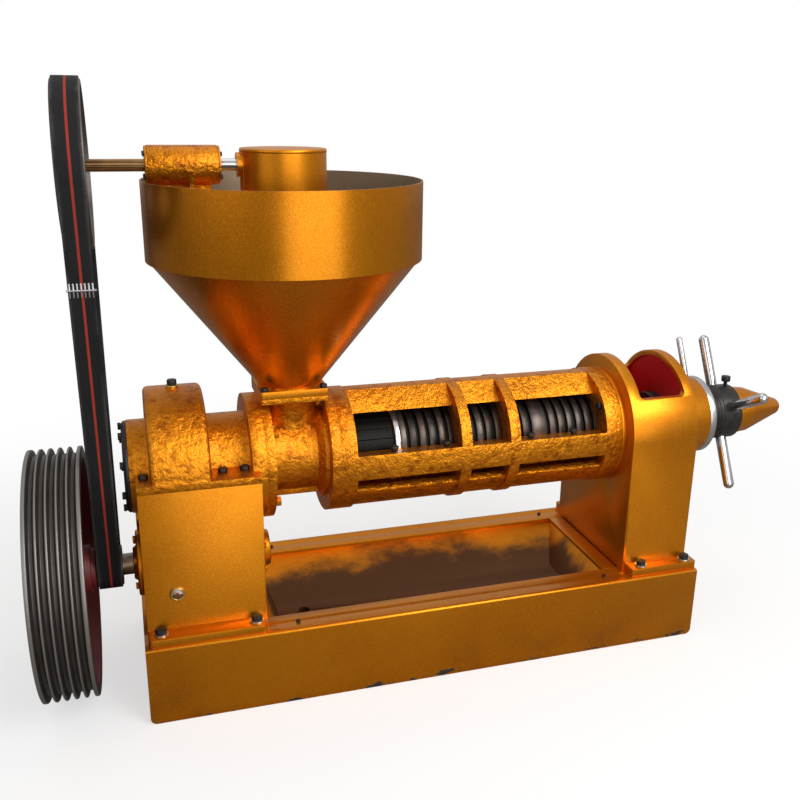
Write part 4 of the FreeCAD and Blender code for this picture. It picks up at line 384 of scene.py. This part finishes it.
def machined_steel():
    """Ground shafts; brown where oil has dried."""
    finish = Finish("machined_steel")
    turning = finish.noise(400, 2, 0.5, finish.stretched(4, 1, 1))
    film = finish.noise(7, 4, 0.6, finish.stretched(3, 1, 1)).step(0.42, 0.66)
    tone = finish.mix(film, (0.40, 0.39, 0.38), (0.19, 0.115, 0.06))
    finish.bump(turning, 0.05, 0.0003)
    return finish.surface(Base_Color=tone, Metallic=0.9, Roughness=0.24 + turning * 0.16)


def drive_shaft_steel():
    """Long top shaft: browned over its open run, bright near the gear can."""
    finish = Finish("drive_shaft_steel")
    x = finish.place()[0]
    turned = finish.noise(300, 2, 0.5, finish.stretched(5, 1, 1))
    film = finish.noise(22, 4, 0.6, finish.stretched(2, 1, 1))
    bright = (x - SHAFT_BRIGHT_FROM).step(-0.01, 0.01)
    brown = finish.mix(film, (0.20, 0.095, 0.035), (0.52, 0.30, 0.13))
    tone = finish.mix(bright, brown, (0.66, 0.66, 0.68))
    finish.bump(turned, 0.06, 0.0003)
    return finish.surface(Base_Color=tone, Metallic=0.95, Roughness=0.30 - bright * 0.16 + turned * 0.1)


def oiled_rings():
    """Dark hardened rings, each with a tone of its own and brown oil patches; the grooves get painted shade, near
    black.
    """
    finish = Finish("oiled_rings")
    _, y, z = finish.place()
    radius = off_axis(y, z, WORM_AXIS)
    ring = finish.noise(1.0, 0, 0.5, finish.stretched(40, 0.01, 0.01))
    oil = finish.noise(30, 4, 0.65)
    shaded_groove = radius.step(0.0895, 0.086)
    tone = finish.mix(ring.step(0.35, 0.65), (0.020, 0.017, 0.016), (0.085, 0.065, 0.055))
    tone = finish.mix((oil - 0.5).step(0.0, 0.25) * 0.6, tone, (0.075, 0.028, 0.012))
    # Painted shade: the grooves between the rings are coloured near black.
    tone = finish.mix(shaded_groove, tone, (0.006, 0.005, 0.004))
    finish.bump(finish.noise(500, 2, 0.5, finish.stretched(6, 1, 1)), 0.1, 0.0003)
    return finish.surface(Base_Color=tone, Metallic=0.75, Roughness=0.26 + oil * 0.16 + shaded_groove * 0.2)


def worm_steel():
    """Worn screw flights, brighter at their rims."""
    finish = Finish("worm_steel")
    _, y, z = finish.place()
    rim = off_axis(y, z, WORM_AXIS).step(0.054, 0.060)
    meal = finish.noise(40, 4, 0.6)
    tone = finish.mix(rim, (0.10, 0.085, 0.075), (0.42, 0.41, 0.40))
    tone = finish.mix((meal - 0.5).step(0.0, 0.2) * 0.7, tone, (0.13, 0.075, 0.035))
    finish.bump(meal, 0.15, 0.001)
    return finish.surface(Base_Color=tone, Metallic=0.8, Roughness=0.30 + meal * 0.2)


def sleeve_steel():
    """Blackened thread and hub."""
    finish = Finish("sleeve_steel")
    grease = finish.noise(45, 4, 0.6)
    tone = finish.mix(grease, (0.014, 0.013, 0.013), (0.075, 0.068, 0.062))
    finish.bump(grease, 0.12, 0.0006)
    return finish.surface(Base_Color=tone, Metallic=0.7, Roughness=0.32 + grease * 0.18)


def belt_weave():
    """Black woven belt, lighter at its edges, with a red tracer stripe."""
    finish = Finish("belt_weave")
    low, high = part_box("flat_belt")
    middle, half = (low[0] + high[0]) / 2, (high[0] - low[0]) / 2
    x = finish.place()[0]
    side = (x - middle) / half
    weave = finish.noise(900, 1, 0.5, finish.stretched(1.0, 0.25, 0.25))
    dust = finish.noise(24, 4, 0.6, finish.stretched(1, 1, 0.35))
    edge = side.absolute().step(0.72, 0.98)
    rub = edge * (dust - 0.35).step(0.0, 0.3)
    stripe = ((side - 0.06).absolute()).step(0.12, 0.075)
    black = finish.mix(dust, (0.004, 0.004, 0.0045), (0.014, 0.0135, 0.014))
    tone = finish.mix(rub * 0.4, black, (0.10, 0.095, 0.09))
    red = finish.mix(dust, (0.34, 0.030, 0.018), (0.20, 0.020, 0.014))
    tone = finish.mix(stripe, tone, red)
    finish.bump(weave, 0.22, 0.0005)
    return finish.surface(Base_Color=tone, Metallic=0.0, Roughness=0.60 + weave * 0.15, Specular_IOR_Level=0.2)


def grooved_pulley_iron():
    """Machined dark rim and dark red web and hub."""
    finish = Finish("grooved_pulley_iron")
    _, y, z = finish.place()
    radius = off_axis(y, z, DRIVE_AXIS)
    rim = radius.step(V_RIM_INNER - EDGE_BLEND, V_RIM_INNER + EDGE_BLEND)
    crest = radius.step(V_CREST - EDGE_BLEND, V_CREST + EDGE_BLEND)
    turning = finish.noise(500, 2, 0.5, finish.stretched(5, 1, 1))
    grime = finish.noise(16, 4, 0.6)
    iron = finish.mix(grime, (0.045, 0.040, 0.037), (0.115, 0.100, 0.092))
    iron = finish.mix(crest, iron, (0.24, 0.225, 0.21))
    red = finish.mix(grime, (0.17, 0.006, 0.008), (0.075, 0.006, 0.006))
    finish.bump(turning, 0.10, 0.0004)
    return finish.surface(Base_Color=finish.mix(rim, red, iron), Metallic=rim * 0.75,
                          Roughness=0.50 - rim * 0.12 + turning * 0.08)


def flat_pulley_iron():
    finish = Finish("flat_pulley_iron")
    grime = finish.noise(18, 4, 0.6)
    tone = finish.mix(grime, (0.05, 0.045, 0.042), (0.17, 0.155, 0.145))
    finish.bump(finish.noise(400, 2, 0.5, finish.stretched(5, 1, 1)), 0.08, 0.0004)
    return finish.surface(Base_Color=tone, Metallic=0.75, Roughness=0.36 + grime * 0.15)


# ---- modelling ------------------------------------------------------------------------------------
def select_only(piece):
    bpy.ops.object.select_all(action="DESELECT")
    piece.select_set(True)
    bpy.context.view_layer.objects.active = piece


def set_finish(piece, material):
    piece.data.materials.clear()
    piece.data.materials.append(material)


def smooth(piece, degrees=35):
    select_only(piece)
    bpy.ops.object.shade_smooth_by_angle(angle=math.radians(degrees))


def modify(piece, kind, **settings):
    select_only(piece)
    modifier = piece.modifiers.new(kind.title(), kind)
    for key, setting in settings.items():
        setattr(modifier, key, setting)
    bpy.ops.object.modifier_apply(modifier=modifier.name)


def dress(node, material, edge=0.0, segments=2):
    """A clean copy of a node with eased edges and smooth curves, which stands for it."""
    source = frame["nodes"][node]
    piece = bpy.data.objects.new(node + "_finished", source.data.copy())
    bpy.context.scene.collection.objects.link(piece)
    select_only(piece)
    bpy.ops.object.mode_set(mode="EDIT")
    bpy.ops.mesh.select_all(action="SELECT")
    bpy.ops.mesh.remove_doubles(threshold=0.00002)
    bpy.ops.mesh.dissolve_limited(angle_limit=math.radians(0.6))
    bpy.ops.object.mode_set(mode="OBJECT")
    if edge:
        modify(piece, "BEVEL", width=edge, segments=segments, limit_method="ANGLE",
               angle_limit=math.radians(38), use_clamp_overlap=True)
    set_finish(piece, material)
    smooth(piece)
    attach(piece, source["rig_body"])
    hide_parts(node)
    return piece


def turned_shell(name, nodes, profile, material, sheet, sides=160):
    """Thin sheet turned about the hopper's axis through (radius, height) points, which stands for nodes."""
    x, y = HOPPER_AXIS[0], HOPPER_AXIS[1]
    radius, height = profile[0]
    bpy.ops.object.select_all(action="DESELECT")
    bpy.ops.mesh.primitive_circle_add(vertices=sides, radius=radius, location=(x, y, height))
    piece = bpy.context.object
    piece.name = name
    bpy.ops.object.mode_set(mode="EDIT")
    for next_radius, next_height in profile[1:]:
        bpy.ops.mesh.extrude_edges_move(TRANSFORM_OT_translate={"value": (0, 0, next_height - height)})
        grow = next_radius / radius
        bpy.ops.transform.resize(value=(grow, grow, 1), center_override=(x, y, next_height))
        radius, height = next_radius, next_height
    bpy.ops.mesh.select_all(action="SELECT")
    bpy.ops.mesh.normals_make_consistent(inside=False)
    bpy.ops.object.mode_set(mode="OBJECT")
    bpy.ops.object.transform_apply(location=True, rotation=True, scale=True)
    modify(piece, "SOLIDIFY", thickness=sheet, offset=-1)
    set_finish(piece, material)
    smooth(piece)
    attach(piece, frame["nodes"][nodes[0]]["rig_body"])
    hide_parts(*nodes)
    return piece


def paint(node, material):
    """A node that keeps its own mesh and gets a finish."""
    node_object = frame["nodes"][node]
    set_finish(node_object, material)


# ---- settings -------------------------------------------------------------------------------------
class OilPressSizes(bpy.types.PropertyGroup):
    casting_edge: FloatProperty(name="Casting edge", description="Rounding of cast edges", default=0.003,
                                unit="LENGTH")
    plate_edge: FloatProperty(name="Plate edge", description="Rounding of plate and machined edges",
                              default=0.0012, unit="LENGTH")
    bolt_edge: FloatProperty(name="Bolt edge", description="Chamfer of bolt heads", default=0.0008,
                             unit="LENGTH")


class OilPressStage(bpy.types.PropertyGroup):
    floor_colour: FloatVectorProperty(name="Floor colour", description="Colour of the floor", subtype="COLOR",
                                      size=3, default=(0.86, 0.86, 0.86), min=0, max=1)
    key_power: FloatProperty(name="Key light", description="Power of the main lamp", default=120,
                             unit="POWER")
    fill_power: FloatProperty(name="Fill light", description="Power of the second lamp", default=16,
                              unit="POWER")
    front_power: FloatProperty(name="Front light", description="Power of the low front lamp", default=44,
                               unit="POWER")
    camera_place: FloatVectorProperty(name="Camera place", description="Where the camera stands", size=3,
                                      subtype="TRANSLATION", default=(-0.6815, -2.0576, 1.3392))
    camera_yaw: FloatProperty(name="Camera yaw", description="Turn from +Y towards +X, in degrees",
                              default=17.035)
    camera_pitch: FloatProperty(name="Camera pitch", description="Tilt below level, in degrees",
                                default=17.823)
    camera_roll: FloatProperty(name="Camera roll", description="Roll about the view, in degrees",
                               default=0.7165)
    lens: FloatProperty(name="Lens", description="Focal length on a 36 mm sensor, in mm", default=41.153)


def sizes():
    return bpy.context.scene.oil_press_sizes


# ---- operators ------------------------------------------------------------------------------------
class OILPRESS_OT_stage(bpy.types.Operator):
    """Floor, world, lamps and camera"""

    bl_idname = "oilpress.stage"
    bl_label = "Stage"

    def execute(self, context):
        stage = context.scene.oil_press_stage
        context.scene.view_settings.view_transform = "Standard"
        self.make_floor(stage.floor_colour)
        self.make_world(context)
        self.make_lamp("key_lamp", (1.7, -2.9, 3.1), 2.2, stage.key_power)
        self.make_lamp("fill_lamp", (-3.0, -2.0, 2.2), 2.4, stage.fill_power)
        self.make_lamp("top_lamp", (0.2, 0.6, 3.6), 2.6, stage.fill_power)
        self.make_lamp("front_lamp", (0.5, -3.6, 1.1), 3.0, stage.front_power)
        self.make_camera(context, stage)
        return {"FINISHED"}

    def make_floor(self, colour):
        bpy.ops.mesh.primitive_plane_add(size=30, location=(0, 0, 0))
        floor = bpy.context.object
        floor.name = "floor"
        finish = Finish("floor_white")
        finish.surface(Base_Color=tuple(colour), Roughness=0.7)
        white = finish.node("ShaderNodeEmission", None, {"Color": (1, 1, 1), "Strength": 1.0})
        below = finish.node("ShaderNodeBsdfDiffuse", None, {"Color": (0.22, 0.21, 0.20)})
        path = finish.node("ShaderNodeLightPath")
        x, y, _ = finish.place()
        far = (x * x + y * y).root().step(WHITE_NEAR, WHITE_FAR) * (1 - WHITE_AT_PRESS) + WHITE_AT_PRESS
        seen = self.blended(finish, far, finish.shader, white)
        mixed = self.blended(finish, Value(finish, path.outputs["Is Camera Ray"]), below, seen)
        finish.feed(finish.output.inputs[0], mixed.outputs[0])
        set_finish(floor, finish.material)

    def blended(self, finish, factor, first, second):
        mixed = finish.node("ShaderNodeMixShader")
        finish.feed(mixed.inputs[0], factor)
        finish.feed(mixed.inputs[1], first.outputs[0])
        finish.feed(mixed.inputs[2], second.outputs[0])
        return mixed

    def make_world(self, context):
        world = bpy.data.worlds.new("studio")
        context.scene.world = world
        world.use_nodes = True
        tree = world.node_tree
        tree.nodes.clear()
        path = tree.nodes.new("ShaderNodeLightPath")
        background = tree.nodes.new("ShaderNodeBackground")
        backdrop = tree.nodes.new("ShaderNodeBackground")
        mixed = tree.nodes.new("ShaderNodeMixShader")
        output = tree.nodes.new("ShaderNodeOutputWorld")
        background.inputs["Color"].default_value = (0.92, 0.90, 0.88, 1)
        background.inputs["Strength"].default_value = 0.62
        backdrop.inputs["Color"].default_value = (1, 1, 1, 1)
        backdrop.inputs["Strength"].default_value = 1.0
        tree.links.new(path.outputs["Is Camera Ray"], mixed.inputs[0])
        tree.links.new(background.outputs[0], mixed.inputs[1])
        tree.links.new(backdrop.outputs[0], mixed.inputs[2])
        tree.links.new(mixed.outputs[0], output.inputs[0])

    def make_lamp(self, name, place, size, power):
        bpy.ops.object.light_add(type="AREA", location=place)
        lamp = bpy.context.object
        lamp.name = name
        lamp.data.size = size
        lamp.data.energy = power
        aim = LAMP_AIM - Vector(place)
        lamp.rotation_euler = aim.to_track_quat("-Z", "Y").to_euler()

    def make_camera(self, context, stage):
        yaw, pitch, roll = (math.radians(a) for a in (stage.camera_yaw, stage.camera_pitch, stage.camera_roll))
        ahead = Vector((math.sin(yaw) * math.cos(pitch), math.cos(yaw) * math.cos(pitch), -math.sin(pitch)))
        level = Vector((math.cos(yaw), -math.sin(yaw), 0))
        upright = level.cross(ahead)
        right = level * math.cos(roll) + upright * math.sin(roll)
        above = upright * math.cos(roll) - level * math.sin(roll)
        turn = Matrix((right, above, -ahead)).transposed().to_4x4()
        bpy.ops.object.camera_add()
        camera = bpy.context.object
        camera.matrix_world = Matrix.Translation(Vector(stage.camera_place)) @ turn
        camera.data.sensor_width = 36
        camera.data.lens = stage.lens
        context.scene.camera = camera


class OILPRESS_OT_bed(bpy.types.Operator):
    """Rails, cross members and drip tray"""

    bl_idname = "oilpress.bed"
    bl_label = "Bed and tray"

    def execute(self, context):
        paint_ = amber_bed()
        for node in ("front_rail", "rear_rail"):
            dress(node, paint_, sizes().plate_edge)
        dress("cross_members", paint_, sizes().plate_edge)
        dress("drip_tray", oily_tray(), sizes().plate_edge / 2, 1)
        return {"FINISHED"}


class OILPRESS_OT_gearbox(bpy.types.Operator):
    """Gearbox case, covers, fittings and what turns inside"""

    bl_idname = "oilpress.gearbox"
    bl_label = "Gearbox"

    def execute(self, context):
        sheet, casting, black = amber_sheet(), amber_casting(), black_oxide()
        steel = machined_steel()
        dress("gearbox_lower_case", sheet, sizes().plate_edge)
        dress("gearbox_upper_case", casting, sizes().casting_edge)
        dress("main_bearing_cover", black, sizes().plate_edge)
        dress("shaft_covers", sheet, sizes().plate_edge)
        dress("brass_fittings", brass(), sizes().bolt_edge)
        dress("sight_glass_lens", sight_glass())
        for node in ("gearbox_bearings", "counter_pinion_shaft", "counter_gear", "main_gear", "main_quill"):
            paint(node, steel)
        return {"FINISHED"}


class OILPRESS_OT_fasteners(bpy.types.Operator):
    """Bolts, studs and washers"""

    bl_idname = "oilpress.fasteners"
    bl_label = "Fasteners"

    def execute(self, context):
        black, amber = black_oxide(), amber_sheet()
        for node in ("bed_bolts", "gearbox_bolts", "cage_bolts", "hopper_bolts", "set_screw"):
            dress(node, black, sizes().bolt_edge)
        for node in ("cover_bolts", "feed_studs"):
            dress(node, amber, sizes().bolt_edge)
        dress("foot_washers", bright_steel(), sizes().bolt_edge / 2, 1)
        return {"FINISHED"}


class OILPRESS_OT_drive_line(bpy.types.Operator):
    """Drive shaft with its grooved and flat pulleys"""

    bl_idname = "oilpress.drive_line"
    bl_label = "Drive line"

    def execute(self, context):
        iron = flat_pulley_iron()
        dress("drive_pulley", grooved_pulley_iron(), sizes().plate_edge)
        dress("small_belt_pulley", iron, sizes().plate_edge)
        dress("large_belt_pulley", iron, sizes().plate_edge)
        dress("drive_shaft", machined_steel())
        return {"FINISHED"}


class OILPRESS_OT_flat_belt(bpy.types.Operator):
    """Flat belt and its wire lacing"""

    bl_idname = "oilpress.flat_belt"
    bl_label = "Flat belt"

    def execute(self, context):
        dress("flat_belt", belt_weave())
        dress("belt_lacing", bright_steel(), 0.0004, 1)
        return {"FINISHED"}


class OILPRESS_OT_hopper(bpy.types.Operator):
    """Hopper band, cone, plates and beam"""

    bl_idname = "oilpress.hopper"
    bl_label = "Hopper"

    def execute(self, context):
        paint_ = hopper_paint()
        low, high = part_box("hopper_band")
        rim = (high[0] - low[0]) / 2
        turned_shell("hopper_band_sheet", ["hopper_band"], [
            (rim, low[2]), (rim, low[2] + 0.006), (rim, low[2] + 0.085), (rim, high[2] - 0.004),
            (rim, high[2])], paint_, HOPPER_SHEET)
        low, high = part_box("hopper_cone")
        top, neck = (high[0] - low[0]) / 2, self.neck_radius(low[2])
        turned_shell("hopper_cone_sheet", ["hopper_cone"], [
            (neck, low[2]), (neck, low[2] + 0.004), (top, high[2] - 0.018), (top, high[2])], paint_, HOPPER_SHEET)
        sheet = amber_sheet()
        dress("hopper_beam", sheet, sizes().plate_edge)
        dress("hopper_plates", sheet, sizes().plate_edge)
        return {"FINISHED"}

    def neck_radius(self, bottom):
        """Outer radius of the cone at its lower end."""
        corners = [v.co for v in frame["nodes"]["hopper_cone"].data.vertices if v.co.z < bottom + 0.0005]
        return max(math.hypot(co.x - HOPPER_AXIS[0], co.y - HOPPER_AXIS[1]) for co in corners)


class OILPRESS_OT_hopper_drive(bpy.types.Operator):
    """Top shaft, bearing housing, gear can and stirrer"""

    bl_idname = "oilpress.hopper_drive"
    bl_label = "Hopper drive"

    def execute(self, context):
        steel = machined_steel()
        dress("top_shaft", drive_shaft_steel())
        dress("top_bearing_housing", amber_casting(), sizes().casting_edge)
        dress("gear_can", amber_sheet())
        dress("can_lid", amber_sheet(), sizes().plate_edge)
        for node in ("top_bushes", "bevel_pinion", "bevel_gear"):
            paint(node, steel)
        for node in ("agitator_shaft", "agitator_arms", "feed_screw"):
            dress(node, steel)
        return {"FINISHED"}


class OILPRESS_OT_feed_body(bpy.types.Operator):
    """Feed casting between the gearbox and the cage"""

    bl_idname = "oilpress.feed_body"
    bl_label = "Feed body"

    def execute(self, context):
        dress("feed_body", amber_casting(), sizes().casting_edge)
        return {"FINISHED"}


class OILPRESS_OT_cage(bpy.types.Operator):
    """Split cage and its end ring"""

    bl_idname = "oilpress.cage"
    bl_label = "Cage"

    def execute(self, context):
        casting = amber_casting()
        for node in ("cage_upper_half", "cage_lower_half"):
            dress(node, casting, sizes().casting_edge)
        dress("cage_end_ring", amber_sheet(), sizes().plate_edge)
        return {"FINISHED"}


class OILPRESS_OT_pressing(bpy.types.Operator):
    """Bars, rings and the worm inside the cage"""

    bl_idname = "oilpress.pressing"
    bl_label = "Rings and worm"

    def execute(self, context):
        rings, worm = oiled_rings(), worm_steel()
        dress("press_rings", rings, 0.0006)
        dress("press_bars", rings, 0.0006)
        dress("clamp_ring", bright_steel(), 0.0008)
        for node in ("worm_pieces", "worm_spacers"):
            dress(node, worm)
        dress("worm_shaft", machined_steel(), 0.0008)
        return {"FINISHED"}


class OILPRESS_OT_discharge_stand(bpy.types.Operator):
    """Arched stand that carries the cake end"""

    bl_idname = "oilpress.discharge_stand"
    bl_label = "Discharge stand"

    def execute(self, context):
        dress("discharge_stand", stand_paint(), sizes().plate_edge)
        return {"FINISHED"}


class OILPRESS_OT_adjuster(bpy.types.Operator):
    """Threaded sleeve, rods, thrust bearing and cone cover"""

    bl_idname = "oilpress.adjuster"
    bl_label = "Adjuster"

    def execute(self, context):
        black = sleeve_steel()
        dress("adjusting_sleeve", black, sizes().plate_edge)
        self.make_thread(black)
        dress("handle_rods", chrome())
        dress("cone_cover", amber_sheet(), sizes().plate_edge)
        paint("thrust_bearing", machined_steel())
        return {"FINISHED"}

    def make_thread(self, material):
        """Thread crests on the sleeve between the lock ring and the hub."""
        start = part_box("lock_ring")[1][0] + THREAD_RUNOUT
        radius, pitch = THREAD_RADIUS, THREAD_PITCH
        crests = []
        for turn in range(THREAD_TURNS):
            bpy.ops.object.select_all(action="DESELECT")
            bpy.ops.mesh.primitive_torus_add(major_radius=radius, minor_radius=pitch * THREAD_CREST,
                                             major_segments=96, minor_segments=10,
                                             location=(start + (turn + 0.5) * pitch, 0, WORM_AXIS.z),
                                             rotation=(0, math.radians(90), 0))
            crests.append(bpy.context.object)
        for crest in crests:
            crest.select_set(True)
        bpy.ops.object.join()
        thread = bpy.context.object
        thread.name = "sleeve_thread"
        bpy.ops.object.transform_apply(location=True, rotation=True, scale=True)
        set_finish(thread, material)
        smooth(thread, 60)
        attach(thread, "adjuster")
        return thread


class OILPRESS_OT_lock_nut(bpy.types.Operator):
    """Lock ring and its lever"""

    bl_idname = "oilpress.lock_nut"
    bl_label = "Lock ring"

    def execute(self, context):
        dress("lock_ring", bright_steel(), sizes().plate_edge)
        dress("lock_lever", chrome())
        return {"FINISHED"}


PIECES = (
    OILPRESS_OT_stage, OILPRESS_OT_bed, OILPRESS_OT_gearbox, OILPRESS_OT_fasteners, OILPRESS_OT_drive_line,
    OILPRESS_OT_flat_belt, OILPRESS_OT_hopper, OILPRESS_OT_hopper_drive, OILPRESS_OT_feed_body,
    OILPRESS_OT_cage, OILPRESS_OT_pressing, OILPRESS_OT_discharge_stand, OILPRESS_OT_adjuster,
    OILPRESS_OT_lock_nut,
)


class OILPRESS_PT_panel(bpy.types.Panel):
    """The press's settings and pieces"""

    bl_idname = "OILPRESS_PT_panel"
    bl_label = "Oil press"
    bl_space_type = "VIEW_3D"
    bl_region_type = "UI"
    bl_category = "Oil press"

    def draw(self, context):
        for settings in (context.scene.oil_press_sizes, context.scene.oil_press_stage):
            for name in settings.__annotations__:
                self.layout.prop(settings, name)
        for piece in PIECES:
            self.layout.operator(piece.bl_idname)


CLASSES = (OilPressSizes, OilPressStage, *PIECES, OILPRESS_PT_panel)


def register():
    for cls in CLASSES:
        bpy.utils.register_class(cls)
    bpy.types.Scene.oil_press_sizes = PointerProperty(type=OilPressSizes)
    bpy.types.Scene.oil_press_stage = PointerProperty(type=OilPressStage)


def unregister():
    del bpy.types.Scene.oil_press_stage
    del bpy.types.Scene.oil_press_sizes
    for cls in reversed(CLASSES):
        bpy.utils.unregister_class(cls)


def main():
    register()
    for piece in PIECES:
        area, name = piece.bl_idname.split(".")
        getattr(getattr(bpy.ops, area), name)()


if __name__ == "__main__":
    main()
